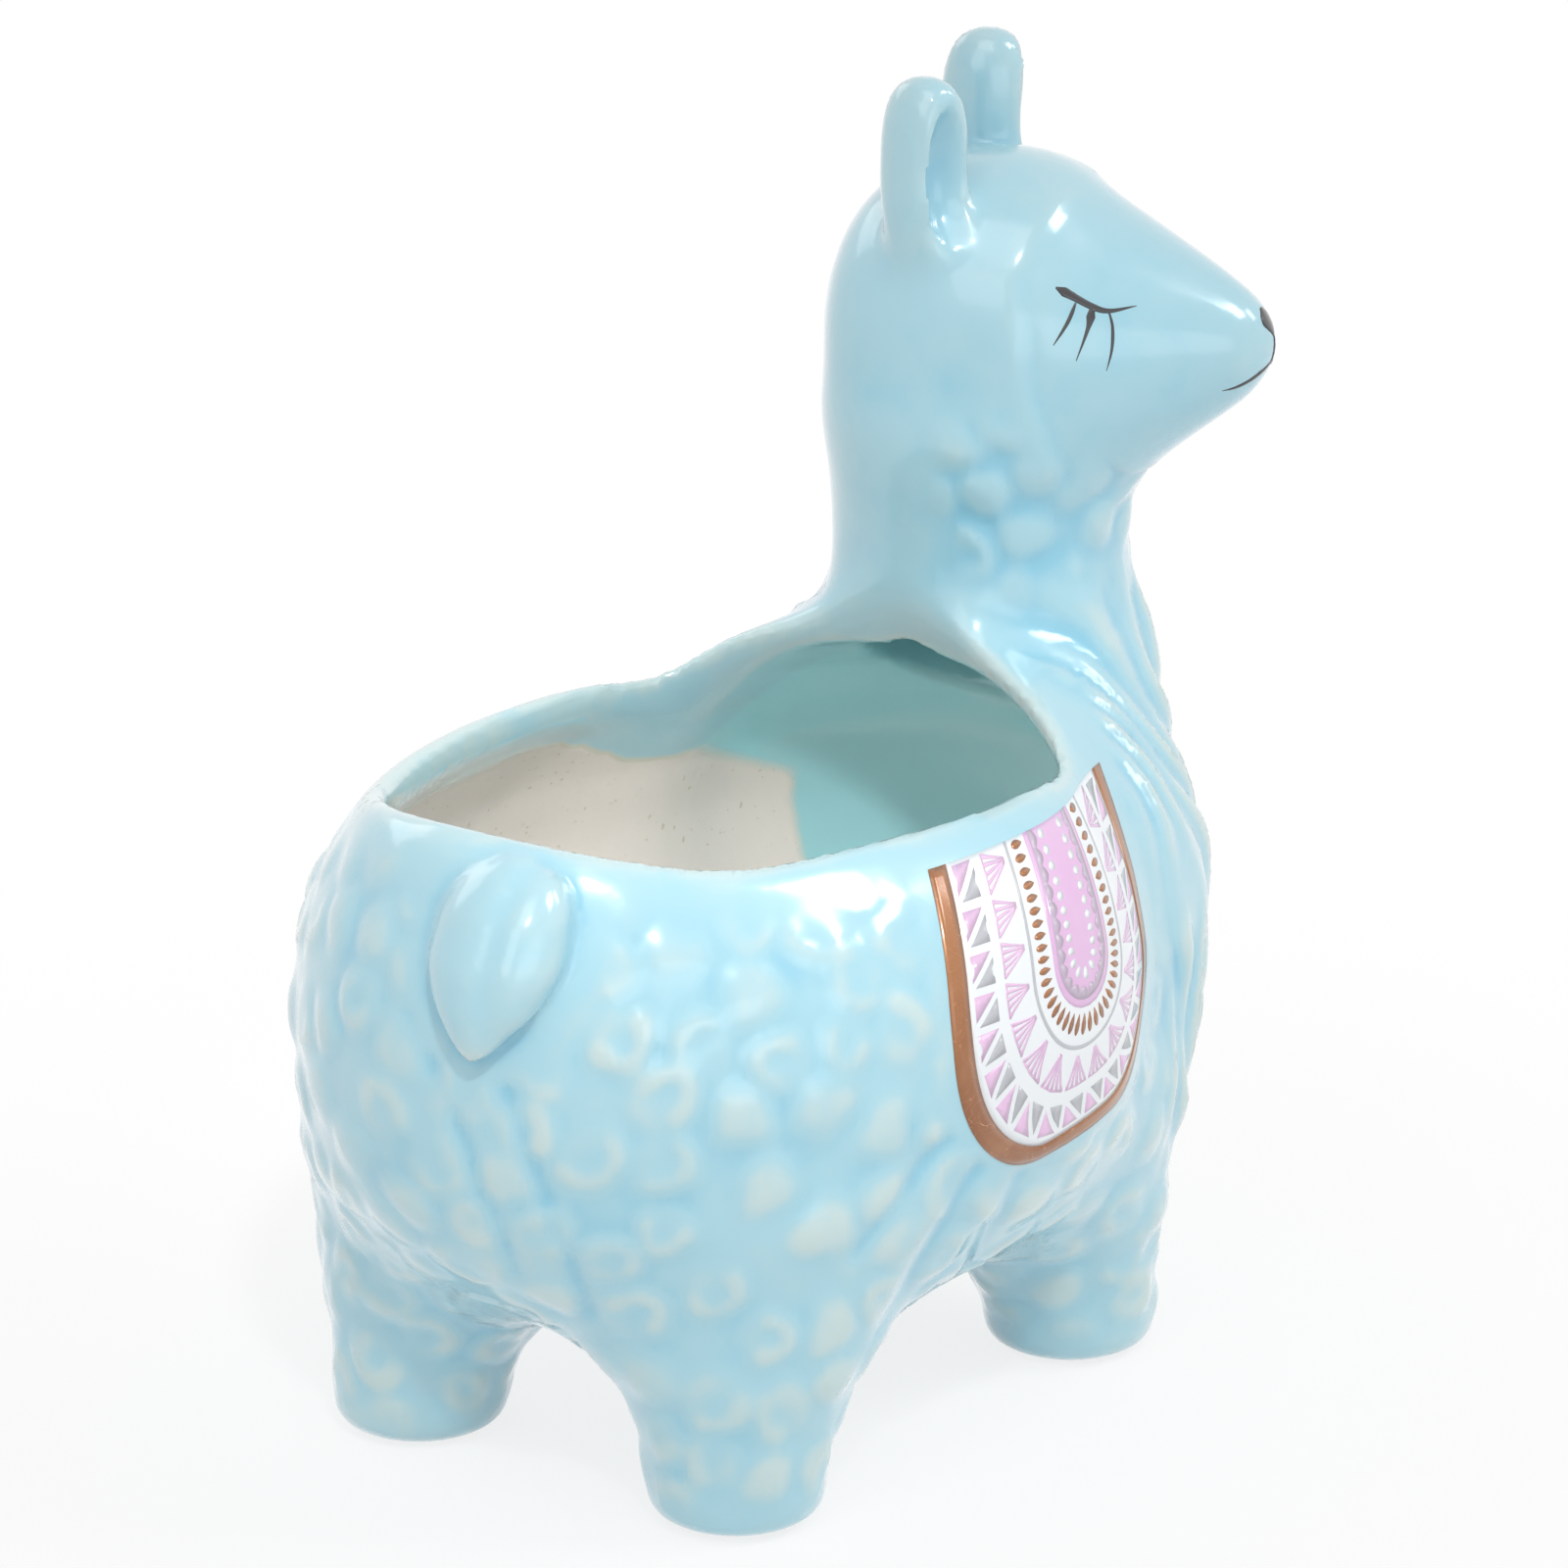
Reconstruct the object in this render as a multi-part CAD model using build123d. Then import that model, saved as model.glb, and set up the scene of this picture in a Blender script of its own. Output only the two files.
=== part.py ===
from build123d import *
import math
import os

# An animal shaped planter: a standing alpaca, cast hollow in clay and glazed, with a wide planting hole
# in its back, four stub legs, a round neck, a turned head, and a saddle blanket fired on each flank.
# Millimetres. +Z is up, the body faces +X and +Y is the animal's left side.
# The origin is on the ground, under the middle of the whole piece.

# Clay wall and edges
wall = 4.8
lip_round = 1.9
foot_round = 3.0
drain_diameter = 8.0

# Torso: level oval sections, each (height share, length share, width share, forward share)
torso_length = 135.0
torso_width = 98.0
torso_height = 74.0
belly_height = 17.0
torso_shares = (
    (0.000, 0.50, 0.54, 0.000),
    (0.030, 0.66, 0.70, 0.000),
    (0.130, 0.85, 0.87, 0.008),
    (0.330, 0.965, 0.98, 0.022),
    (0.540, 1.00, 1.00, 0.030),
    (0.665, 0.985, 0.965, 0.022),
    (0.760, 0.95, 0.89, 0.008),
    (0.840, 0.90, 0.785, -0.015),
    (0.905, 0.84, 0.675, -0.050),
    (0.960, 0.755, 0.535, -0.075),
    (1.000, 0.65, 0.38, -0.095),
)

# Planting hole, seen from above: (share of its length from the rear, share of its half width)
opening_rear_margin = 15.3
opening_front_margin = 29.2
opening_side_margin = 14.25
opening_lean = 32.5
opening_level = 80.0
opening_shares = (
    (0.000, 0.00),
    (0.047, 0.46),
    (0.182, 0.81),
    (0.448, 1.00),
    (0.677, 0.985),
    (0.837, 0.81),
    (0.951, 0.43),
    (1.000, 0.00),
)

# Legs: round sections, each (height share, swell share from foot to hip, shift share from foot to hip)
foot_diameter = 22.0
hip_diameter = 42.0
foot_inset_x = 32.75
foot_inset_y = 24.7
hip_inset_x = 38.6
hip_inset_y = 29.2
leg_height = 44.0
leg_shares = (
    (0.00, 0.00, 0.00),
    (0.16, 0.03, 0.02),
    (0.32, 0.22, 0.20),
    (0.48, 0.56, 0.55),
    (0.64, 0.90, 0.92),
    (0.82, 1.02, 1.03),
    (1.00, 0.85, 1.10),
)

# Neck: oval sections, each (height share, front share, back share, side share)
neck_diameter = 38.0
neck_setback = 19.0
neck_foot = 62.0
neck_height = 60.0
neck_shares = (
    (0.000, 0.74, 1.26, 1.58),
    (0.133, 0.79, 1.37, 1.47),
    (0.250, 0.92, 1.32, 1.37),
    (0.367, 1.03, 1.08, 1.16),
    (0.483, 1.015, 0.955, 1.04),
    (0.617, 0.98, 0.98, 0.985),
    (0.750, 0.985, 1.02, 1.00),
    (0.883, 0.98, 1.06, 1.04),
    (1.000, 0.84, 0.93, 0.90),
)
neck_bore_shares = (
    (0.133, 0.63),
    (0.330, 1.00),
    (0.900, 1.00),
)
neck_ring_points = 12

# Head: upright oval sections along its length, each (length share, rise share, height share, width share)
head_length = 58.4
head_height = 44.0
head_width = 38.0
head_behind_axis = 20.0
head_level = 126.6
head_turn = -70.0
head_shares = (
    (0.000, 0.02, 0.09, 0.10),
    (0.024, 0.02, 0.36, 0.39),
    (0.076, 0.00, 0.64, 0.68),
    (0.169, -0.02, 0.865, 0.89),
    (0.288, 0.00, 0.98, 0.99),
    (0.407, 0.00, 1.00, 1.00),
    (0.525, -0.02, 0.95, 0.95),
    (0.627, -0.09, 0.827, 0.84),
    (0.729, -0.085, 0.664, 0.68),
    (0.831, -0.065, 0.486, 0.485),
    (0.915, -0.05, 0.314, 0.326),
    (0.969, -0.04, 0.177, 0.19),
    (1.000, -0.03, 0.060, 0.06),
)

# Ears: level oval sections, each (height share, size share), and a hollow scooped from the front
ear_root_below_crown = 12.6
ear_length = 24.0
ear_depth = 12.4
ear_thickness = 8.0
ear_spacing = 29.0
ear_behind_axis = 3.0
ear_scoop_depth = 4.4
ear_scoop_width = 4.6
ear_scoop_reach_share = 0.42
ear_scoop_middle_share = 0.55
ear_shares = (
    (0.00, 0.72),
    (0.20, 0.91),
    (0.40, 1.00),
    (0.60, 0.98),
    (0.79, 0.83),
    (0.94, 0.50),
    (1.00, 0.14),
)

# Tail: a leaf laid down the rump, in sections from root to tip, each (length share, size share)
tail_length = 22.5
tail_width = 17.0
tail_thickness = 13.0
tail_side = 10.0
tail_root_height = 86.0
tail_inset = 9.0
tail_tilt = 22.0
tail_shares = (
    (0.00, 0.24),
    (0.10, 0.68),
    (0.28, 0.96),
    (0.48, 1.00),
    (0.68, 0.82),
    (0.86, 0.48),
    (1.00, 0.12),
)

# Fired colour: thickness of one coat, and of the drawing laid over the blanket's ground
coat = 0.30
drawing_coat = 0.25

# Saddle blanket on the flank: a tongue with round corners, hanging from the rim, and its bands from the edge in
blanket_width = 48.8
blanket_centre = 2.0
blanket_bottom = 41.0
blanket_top = 76.6
blanket_corner = 17.0
blanket_lean_back = 3.6
blanket_lean_front = 4.6
blanket_lower_share = 0.8
border_band = 2.6
tooth_band = 12.0
line_band = 0.7
drop_band = 2.2

# Face, brushed on in thin enamel: stroke widths, and places as (length share, height share) on the head
brush_width = 0.8
mouth_width = 0.55
nose_patch_length = 2.4
nose_patch_floor_share = -0.02
lid_shares = ((0.573, 0.385), (0.600, 0.350), (0.642, 0.275), (0.675, 0.247), (0.718, 0.260))
lash_shares = (
    ((0.612, 0.325), (0.598, 0.190), (0.576, 0.085)),
    ((0.642, 0.262), (0.634, 0.130), (0.619, -0.010)),
    ((0.672, 0.245), (0.681, 0.160), (0.676, -0.082)),
)
mouth_shares = ((0.990, -0.020), (0.955, -0.215), (0.916, -0.265), (0.860, -0.255))

# Places that follow from the sizes above
torso_front = torso_length / 2
neck_axis = torso_front - neck_setback
torso_top = belly_height + torso_height
opening_length = torso_length - opening_rear_margin - opening_front_margin
opening_width = torso_width - 2 * opening_side_margin
foot_x = torso_length / 2 - foot_inset_x
foot_y = torso_width / 2 - foot_inset_y
hip_x = torso_length / 2 - hip_inset_x
hip_y = torso_width / 2 - hip_inset_y
head_direction = Vector(math.cos(math.radians(head_turn)), math.sin(math.radians(head_turn)), 0)
head_side = Vector(head_direction.Y, -head_direction.X, 0)
head_axis_point = Vector(neck_axis, 0, head_level)


# Torso

def torso_solid(growth):
    """The torso's outer form, grown evenly outwards, or inwards where growth is negative."""
    bottom = belly_height - growth
    height = torso_height + 2 * growth
    sections = []
    for height_share, length_share, width_share, forward_share in torso_shares:
        half_length = torso_length / 2 * length_share + growth
        half_width = torso_width / 2 * width_share + growth
        place = Pos(torso_length / 2 * forward_share, 0, bottom + height * height_share)
        sections.append(place * Ellipse(half_length, half_width))
    return loft(sections)


def opening_cutter():
    """The planting hole as an upright prism that leans back towards the tail as it rises."""
    rear = opening_rear_margin - torso_length / 2
    near = [(rear + opening_length * along, -opening_width / 2 * side) for along, side in opening_shares]
    far = [(x, -y) for x, y in reversed(near[1:-1])]
    outline = make_face(Spline(*near, *far, periodic=True))
    lean = math.radians(opening_lean)
    direction = Vector(-math.sin(lean), 0, math.cos(lean))
    reach = torso_top - belly_height
    upper = extrude(Pos(0, 0, opening_level) * outline, amount=reach, dir=direction)
    depth = opening_level - torso_top + torso_height / 3
    lower = extrude(Pos(0, 0, opening_level) * outline, amount=depth, dir=-direction)
    return upper + lower


# Legs

def leg_solid(inset):
    """The front left leg, from its sole to its hip inside the torso, drawn in by inset for its hollow."""
    sections = []
    for height_share, swell_share, shift_share in leg_shares:
        radius = foot_diameter / 2 + (hip_diameter - foot_diameter) / 2 * swell_share - inset
        x = foot_x + (hip_x - foot_x) * shift_share
        y = foot_y + (hip_y - foot_y) * shift_share
        z = inset + (leg_height - inset) * height_share
        sections.append(Pos(x, y, z) * Circle(radius))
    leg = loft(sections)
    sole_edge = leg.edges().group_by(Axis.Z)[0]
    return fillet(sole_edge, min(foot_round, foot_diameter / 3 - inset / 2))


# Neck

def neck_solid():
    """The neck's outer form, flared where it joins the shoulders."""
    sections = []
    for height_share, front_share, back_share, side_share in neck_shares:
        points = []
        for step in range(neck_ring_points):
            angle = 2 * math.pi * step / neck_ring_points
            reach = front_share if math.cos(angle) > 0 else back_share
            x = neck_diameter / 2 * reach * math.cos(angle)
            y = neck_diameter / 2 * side_share * math.sin(angle)
            points.append((x, y))
        ring = make_face(Spline(*points, periodic=True))
        sections.append(Pos(neck_axis, 0, neck_foot + neck_height * height_share) * ring)
    return loft(sections)


def neck_bore():
    """The hollow of the neck: a funnel that opens from the torso's cavity and runs up into the head."""
    bore_radius = neck_diameter / 2 - wall
    sections = []
    for height_share, radius_share in neck_bore_shares:
        height = neck_foot + neck_height * height_share
        sections.append(Pos(neck_axis, 0, height) * Circle(bore_radius * radius_share))
    return loft(sections, ruled=True)


# Head

def head_plane(along, rise):
    """A plane square to the head's length, with its x axis pointing up."""
    origin = head_axis_point + head_direction * along + Vector(0, 0, rise)
    return Plane(origin=origin, x_dir=(0, 0, 1), z_dir=head_direction)


def head_solid(growth):
    """The head from the back of the skull to the tip of the nose, grown outwards or inwards."""
    length = head_length + 2 * growth
    sections = []
    for length_share, rise_share, height_share, width_share in head_shares:
        half_height = head_height / 2 * height_share + growth
        half_width = head_width / 2 * width_share + growth
        if min(half_height, half_width) > 0:
            along = length * length_share - head_behind_axis - growth
            plane = head_plane(along, head_height / 2 * rise_share)
            sections.append(plane * Ellipse(max(half_height, half_width), half_width))
    return loft(sections)


def ear_solid(side):
    """One upright ear, a leaf with its hollow turned to the front; side is 1 for right and -1 for left."""
    base = head_axis_point - head_direction * ear_behind_axis + head_side * (side * ear_spacing / 2)
    root = head_level + head_height / 2 - ear_root_below_crown
    frame = Plane(origin=(base.X, base.Y, root), x_dir=head_direction, z_dir=(0, 0, 1))
    sections = []
    for height_share, size_share in ear_shares:
        oval = Ellipse(ear_depth / 2 * size_share, ear_thickness / 2 * size_share)
        sections.append(frame * Pos(0, 0, ear_length * height_share) * oval)
    scoop_reach = ear_length * ear_scoop_reach_share
    hollow = scale(Sphere(1), by=(ear_scoop_depth, ear_scoop_width / 2, scoop_reach))
    hollow = frame * Pos(ear_depth / 2, 0, ear_length * ear_scoop_middle_share) * hollow
    return loft(sections) - hollow


# Tail

def tail_solid():
    """A pointed leaf lying down the rump, to the right of the spine."""
    around = math.sqrt(1 - (tail_side / (torso_width / 2)) ** 2)
    root_x = tail_inset - torso_length / 2 * around
    sections = []
    for length_share, size_share in tail_shares:
        drop = tail_length * length_share
        drift = -drop * math.tan(math.radians(tail_tilt))
        place = Pos(root_x + drift, -tail_side, tail_root_height - drop)
        sections.append(place * Ellipse(tail_width / 2 * size_share, tail_thickness / 2 * size_share, rotation=90))
    return loft(sections)


# Saddle blanket

def tongue(inset):
    """The flat face inside the blanket's outline on the flank, in x and height, drawn in by inset."""
    half_width = blanket_width / 2 - inset
    corner = min(half_width, blanket_corner)
    bottom = blanket_bottom + inset * blanket_lower_share
    left = blanket_centre - half_width
    right = blanket_centre + half_width
    top_left = (left + blanket_lean_back, blanket_top)
    top_right = (right + blanket_lean_front, blanket_top)
    left_turn = RadiusArc((left, bottom + corner), (left + corner, bottom), -corner)
    right_turn = RadiusArc((right - corner, bottom), (right, bottom + corner), -corner)
    edges = [Line(top_left, left_turn @ 0), left_turn, right_turn, Line(right_turn @ 1, top_right)]
    if half_width > corner:
        edges.append(Line(left_turn @ 1, right_turn @ 0))
    return make_face([*edges, Line(top_right, top_left)])


def band(outer_inset, width):
    """A flat band that runs round the blanket, from outer_inset inwards."""
    return tongue(outer_inset) - tongue(outer_inset + width)


def on_flank(face, coat_shell):
    """Lay a flat blanket face on the right flank, as a piece of a thin coat over the torso."""
    return extrude(Plane.XZ * face, amount=torso_width) & coat_shell


# Face

def on_head(height_share, length_share):
    """A place on the head's long section: along its length, and up from its middle."""
    return (head_length * length_share - head_behind_axis, head_height / 2 * height_share)


def brushed(strokes, width):
    """Prisms through the right half of the head under brush strokes drawn on its long section."""
    plane = Plane(origin=head_axis_point, x_dir=head_direction, z_dir=head_side)
    prisms = []
    for stroke in strokes:
        points = [on_head(height_share, length_share) for length_share, height_share in stroke]
        line = Spline(*points) if len(points) > 2 else Line(*points)
        prisms.append(extrude(plane * trace([line], line_width=width), amount=head_width))
    return prisms


torso = torso_solid(0)
cavity = torso_solid(-wall)
neck_form = neck_solid()
neck_hollow = neck_bore()
head_form = head_solid(0)
head_hollow = head_solid(-wall)
cutter = opening_cutter()
pieces = {}

# Pot, neck and head
closed_pot = torso - cavity
open_pot = closed_pot - cutter
lips = [edge for edge in new_edges(closed_pot, cutter, combined=open_pot) if edge.length > lip_round]
pot = fillet(lips, lip_round) - neck_hollow
pot -= Pos(0, 0, belly_height) * Cylinder(drain_diameter / 2, 4 * wall)
neck = neck_form - torso - head_form - neck_hollow - cutter

# Legs
hollow = leg_solid(wall)
leg = leg_solid(0) - torso - hollow
hollows = [hollow, mirror(hollow, about=Plane.XZ), mirror(hollow, about=Plane.YZ), Rot(0, 0, 180) * hollow]
pot -= Part() + hollows
pieces["front_left_leg"] = leg
pieces["front_right_leg"] = mirror(leg, about=Plane.XZ)
pieces["rear_left_leg"] = mirror(leg, about=Plane.YZ)
pieces["rear_right_leg"] = Rot(0, 0, 180) * leg

pieces["pot_body"] = pot
pieces["neck"] = neck
pieces["head"] = head_form - head_hollow - neck_hollow
pieces["ear_right"] = ear_solid(1) - head_form
pieces["ear_left"] = ear_solid(-1) - head_form
pieces["tail"] = tail_solid() - torso

# Blanket on each flank
ground_form = torso_solid(coat)
ground_shell = ground_form - torso
drawing_shell = torso_solid(coat + drawing_coat) - ground_form
line_inset = border_band + tooth_band
field_inset = line_inset + line_band + drop_band
blanket = {
    "border": on_flank(band(0, border_band), ground_shell),
    "ground": on_flank(tongue(border_band), ground_shell),
    "line": on_flank(band(line_inset, line_band), drawing_shell),
    "field": on_flank(tongue(field_inset), drawing_shell),
}
for name, shape in blanket.items():
    pieces[f"blanket_right_{name}"] = shape
    pieces[f"blanket_left_{name}"] = mirror(shape, about=Plane.XZ)

# Brushed face
face_shell = head_solid(coat) - head_form
cheeks = Plane(origin=head_axis_point, z_dir=head_side)
eye = (Part() + brushed([lid_shares, *lash_shares], brush_width)) & face_shell
pieces["eye_right"] = eye
pieces["eye_left"] = mirror(eye, about=cheeks)
smile = (Part() + brushed([mouth_shares], mouth_width)) & face_shell
pieces["mouth_line"] = Part() + [smile, mirror(smile, about=cheeks)]
nose_back = head_length - head_behind_axis - nose_patch_length
nose_block = Box(head_width, head_width, 2 * nose_patch_length, align=(Align.MIN, Align.CENTER, Align.MIN))
pieces["nose_patch"] = face_shell & (head_plane(nose_back, head_height / 2 * nose_patch_floor_share) * nose_block)

# The origin goes under the middle of the piece, which only the tail, neck and head move off the torso's middle
length_box = Compound([pot, neck, pieces["head"], pieces["tail"]]).bounding_box()
shift = -(length_box.min.X + length_box.max.X) / 2
os.makedirs("parts", exist_ok=True)
for name, shape in pieces.items():
    export_step(Pos(shift, 0, 0) * shape, f"parts/{name}.step")
print("all pieces moved along X by", round(shift, 3), "mm, so that the origin is under the middle")
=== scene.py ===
# %% [markdown]
# # A glazed alpaca planter
# A small plant pot in the form of a standing alpaca: cast in clay, glazed in pale blue, with a saddle blanket
# fired on each flank and a sleeping face drawn in black enamel. This lesson first builds the clay as one smooth
# skin, then presses the fleece into it, lays the blankets on its sides, and at last mixes glazes and light.

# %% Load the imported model
import math
import bmesh
import bpy
import numpy as np
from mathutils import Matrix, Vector, kdtree


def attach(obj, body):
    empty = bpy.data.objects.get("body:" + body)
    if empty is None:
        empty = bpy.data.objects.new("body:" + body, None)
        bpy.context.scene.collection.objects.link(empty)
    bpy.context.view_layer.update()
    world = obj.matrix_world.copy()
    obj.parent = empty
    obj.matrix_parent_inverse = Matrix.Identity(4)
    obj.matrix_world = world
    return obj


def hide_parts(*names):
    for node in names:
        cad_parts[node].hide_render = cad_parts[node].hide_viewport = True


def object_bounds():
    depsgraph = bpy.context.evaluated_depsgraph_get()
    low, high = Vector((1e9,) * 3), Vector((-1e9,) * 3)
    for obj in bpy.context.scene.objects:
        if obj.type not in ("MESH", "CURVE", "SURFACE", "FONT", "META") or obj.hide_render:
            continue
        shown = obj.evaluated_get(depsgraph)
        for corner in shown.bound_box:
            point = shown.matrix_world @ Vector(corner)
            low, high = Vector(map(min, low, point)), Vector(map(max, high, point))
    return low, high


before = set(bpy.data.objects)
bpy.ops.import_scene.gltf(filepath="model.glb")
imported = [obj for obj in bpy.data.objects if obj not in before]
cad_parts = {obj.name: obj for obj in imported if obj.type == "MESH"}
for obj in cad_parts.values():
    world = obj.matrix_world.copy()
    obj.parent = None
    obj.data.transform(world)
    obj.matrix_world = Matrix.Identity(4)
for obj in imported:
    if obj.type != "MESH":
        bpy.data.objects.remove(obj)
cad_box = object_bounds()
print("CAD box", [[round(v, 4) for v in corner] for corner in cad_box])

# %% [markdown]
# ## How the clay is described
# A cast pot has no seams: legs, neck and belly melt into each other. Lofted meshes would have to be cut and
# joined, and every join would show in the glaze. So each part is a field here: an array of numbers that is
# negative inside the clay and positive outside, about as large as the distance in millimetres. Fields join with
# a soft minimum, which leaves the same small fillet that a wet sponge leaves between two luted pieces.

# %% Small tools for fields
MM = 0.001


def smooth_rows(rows, at):
    """Smooth curves through rows of (place, value, value...), read at many places, with no overshoot."""
    rows = np.array(rows, float)
    place, count = rows[:, 0], len(rows)
    at = np.clip(np.asarray(at, float), place[0], place[-1])
    step = np.diff(place)
    i = np.clip(np.searchsorted(place, at, side="right") - 1, 0, count - 2)
    t = (at - place[i]) / step[i]
    curves = []
    for column in rows.T[1:]:
        slope = np.diff(column) / step
        tangent = np.zeros(count)
        tangent[0], tangent[-1] = slope[0], slope[-1]
        wide, near = 2 * step[1:] + step[:-1], step[1:] + 2 * step[:-1]
        with np.errstate(divide="ignore", invalid="ignore"):
            mean = (wide + near) / (wide / slope[:-1] + near / slope[1:])
        tangent[1:-1] = np.where(slope[:-1] * slope[1:] > 0, mean, 0)
        curves.append((2 * t**3 - 3 * t**2 + 1) * column[i] + (t**3 - 2 * t**2 + t) * step[i] * tangent[i]
                      + (3 * t**2 - 2 * t**3) * column[i + 1] + (t**3 - t**2) * step[i] * tangent[i + 1])
    return curves


def join(a, b, softness):
    """Both forms as one, with a fillet about as wide as softness."""
    h = np.maximum(softness - np.abs(a - b), 0) / softness
    return np.minimum(a, b) - h**3 * softness / 6


def keep(a, b, softness):
    """Only what lies in both forms, with its edge rounded."""
    return -join(-a, -b, softness)


def cut(a, b, softness):
    """The first form with the second cut out of it, and the edge between them rounded."""
    return keep(a, -b, softness)


# %% The block of space that the fields fill
cell = 0.9
low = np.array((-72.0, -54.0, -3.0))
high = np.array((73.0, 54.0, 163.5))
shape = np.ceil((high - low) / cell).astype(int) + 1
X, Y, Z = np.meshgrid(*[low[i] + cell * np.arange(shape[i]) for i in range(3)], indexing="ij", sparse=True)


def even(field):
    """Scales a field so that it grows by one for each millimetre away from its surface."""
    slopes = np.gradient(field, cell)
    steepness = np.sqrt(slopes[0]**2 + slopes[1]**2 + slopes[2]**2)
    return np.clip(field / np.maximum(steepness, 1e-4), -25, 40)


def bounded(field, *spans):
    """Keeps a field honest far from its form: it is never less than the distance to the form's own box."""
    for place, lowest, highest in spans:
        field = np.maximum(field, 0.9 * np.maximum(lowest - place, place - highest))
    return field


def soften(field, width):
    """Rounds every crease of a field, over about this many millimetres, by averaging neighbours."""
    for _ in range(max(1, round(2 * (width / cell)**2))):
        for axis in range(3):
            lines = np.moveaxis(field, axis, 0)
            middle = 0.25 * (lines[:-2] + lines[2:]) + 0.5 * lines[1:-1]
            field = np.moveaxis(np.concatenate((lines[:1], middle, lines[-1:])), 0, axis)
    return field


def swell(value):
    """From 0 to 1 with soft ends."""
    value = np.clip(value, 0, 1)
    return value * value * (3 - 2 * value)


def hill(value, centre, width):
    """A rounded hill: 1 at its centre, and nearly gone two widths away from it."""
    return np.exp(-((value - centre) / width)**2)


print("cells", shape, "of", cell, "mm")

# %% [markdown]
# ## The body
# The torso is a stack of level ovals, the way a thrower would measure it. In front of the blanket the real pot
# dips in a little before the chest wool swells out, so the ovals get a shallow hollow there.

# %% Torso
torso_length, torso_width, torso_height, belly_height = 135.0, 98.0, 74.0, 17.0
wall = 4.8
torso_rows = ((0.000, 0.40, 0.44, 0.000), (0.030, 0.52, 0.56, 0.000), (0.130, 0.77, 0.79, 0.008),
              (0.330, 0.955, 0.97, 0.022), (0.540, 1.00, 1.00, 0.030), (0.665, 0.985, 0.965, 0.022),
              (0.760, 0.95, 0.89, 0.008), (0.840, 0.90, 0.785, -0.015), (0.905, 0.84, 0.675, -0.050),
              (0.960, 0.755, 0.535, -0.075), (1.000, 0.65, 0.38, -0.095))
half_length, half_width, forward = smooth_rows(torso_rows, (Z - belly_height) / torso_height)
half_length, half_width = half_length * torso_length / 2, half_width * torso_width / 2
forward = forward * torso_length / 2
dip_depth, dip_place, dip_level = 5.0, 29, 60
dip = dip_depth * hill(X, dip_place, 12) * np.exp(-((Z - dip_level) / 24)**4)
torso_oval = even(np.sqrt(((X - forward) / half_length)**2 + (Y / (half_width - dip))**2) - 1)
torso = keep(keep(torso_oval, belly_height - Z, 8), Z - belly_height - torso_height, 6)
cavity = keep(keep(torso_oval + wall, belly_height + wall - Z, 6), Z - belly_height - torso_height + wall, 4)
print("torso", half_length.max() * 2, "by", half_width.max() * 2, "mm")

# %% Legs
foot_radius, hip_radius, leg_top = 11.3, 21.4, 50
to_hip, over_hip = swell((Z - 4) / 34), swell((Z - 36) / 16)
leg_radius = foot_radius + (hip_radius - foot_radius) * to_hip - 5 * over_hip
leg_x, leg_y = 34.75 - 7.9 * to_hip, 24.3 - 5.6 * to_hip
from_leg_axis = np.sqrt((np.abs(X) - leg_x)**2 + (np.abs(Y) - leg_y)**2)
legs = keep(keep(even(from_leg_axis / leg_radius - 1), -Z, 3), Z - leg_top, 4)
leg_hollows = keep(keep(from_leg_axis - leg_radius + wall, wall - Z, 4), Z - leg_top, 4)
body = join(torso, legs, 13)
print("legs", leg_top, "mm up into the belly")

# %% [markdown]
# ## Neck and head
# The neck leans out of the shoulders with a wide foot, and the head sits across it, turned to the animal's
# right. Both use the same trick: rows of measured sections, read smoothly.

# %% Neck
neck_axis, neck_bottom, neck_top, bore_bottom, bore_top = 48.5, 62, 122, 70, 112
neck_rows = ((62.0, 10.0, 23.9, 24.0), (70.0, 13.0, 26.0, 25.0), (77.0, 16.5, 25.1, 24.4),
             (84.0, 18.9, 20.9, 22.2), (91.0, 19.3, 18.1, 19.8), (99.0, 18.6, 18.6, 18.7),
             (107.0, 18.7, 19.4, 19.0), (115.0, 18.6, 20.1, 19.8), (122.0, 16.0, 17.7, 17.1))
front, back, side = smooth_rows(neck_rows, Z)
neck = even(np.sqrt(((X - neck_axis) / np.where(X > neck_axis, front, back))**2 + (Y / side)**2) - 1)
neck = keep(keep(neck, neck_bottom - Z, 4), Z - neck_top, 8)
bore_radius = np.interp(Z, (bore_bottom, 81.8), (9.0, 14.2))
bore = keep(np.sqrt((X - neck_axis)**2 + Y**2) - bore_radius, np.maximum(bore_bottom - Z, Z - bore_top), 3)
print("neck from", neck_bottom, "to", neck_top, "mm")

# %% Head
head_length, head_height, head_width, head_level = 58.4, 44.0, 38.0, 126.6
head_turn, head_behind_neck, skull_radius = math.radians(-70), 20.0, 22.6


def along_head(x, y):
    """How far places lie along the head, from its back, and how far to its right."""
    x = x - neck_axis
    return (x * math.cos(head_turn) + y * math.sin(head_turn) + head_behind_neck,
            x * math.sin(head_turn) - y * math.cos(head_turn))


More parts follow.
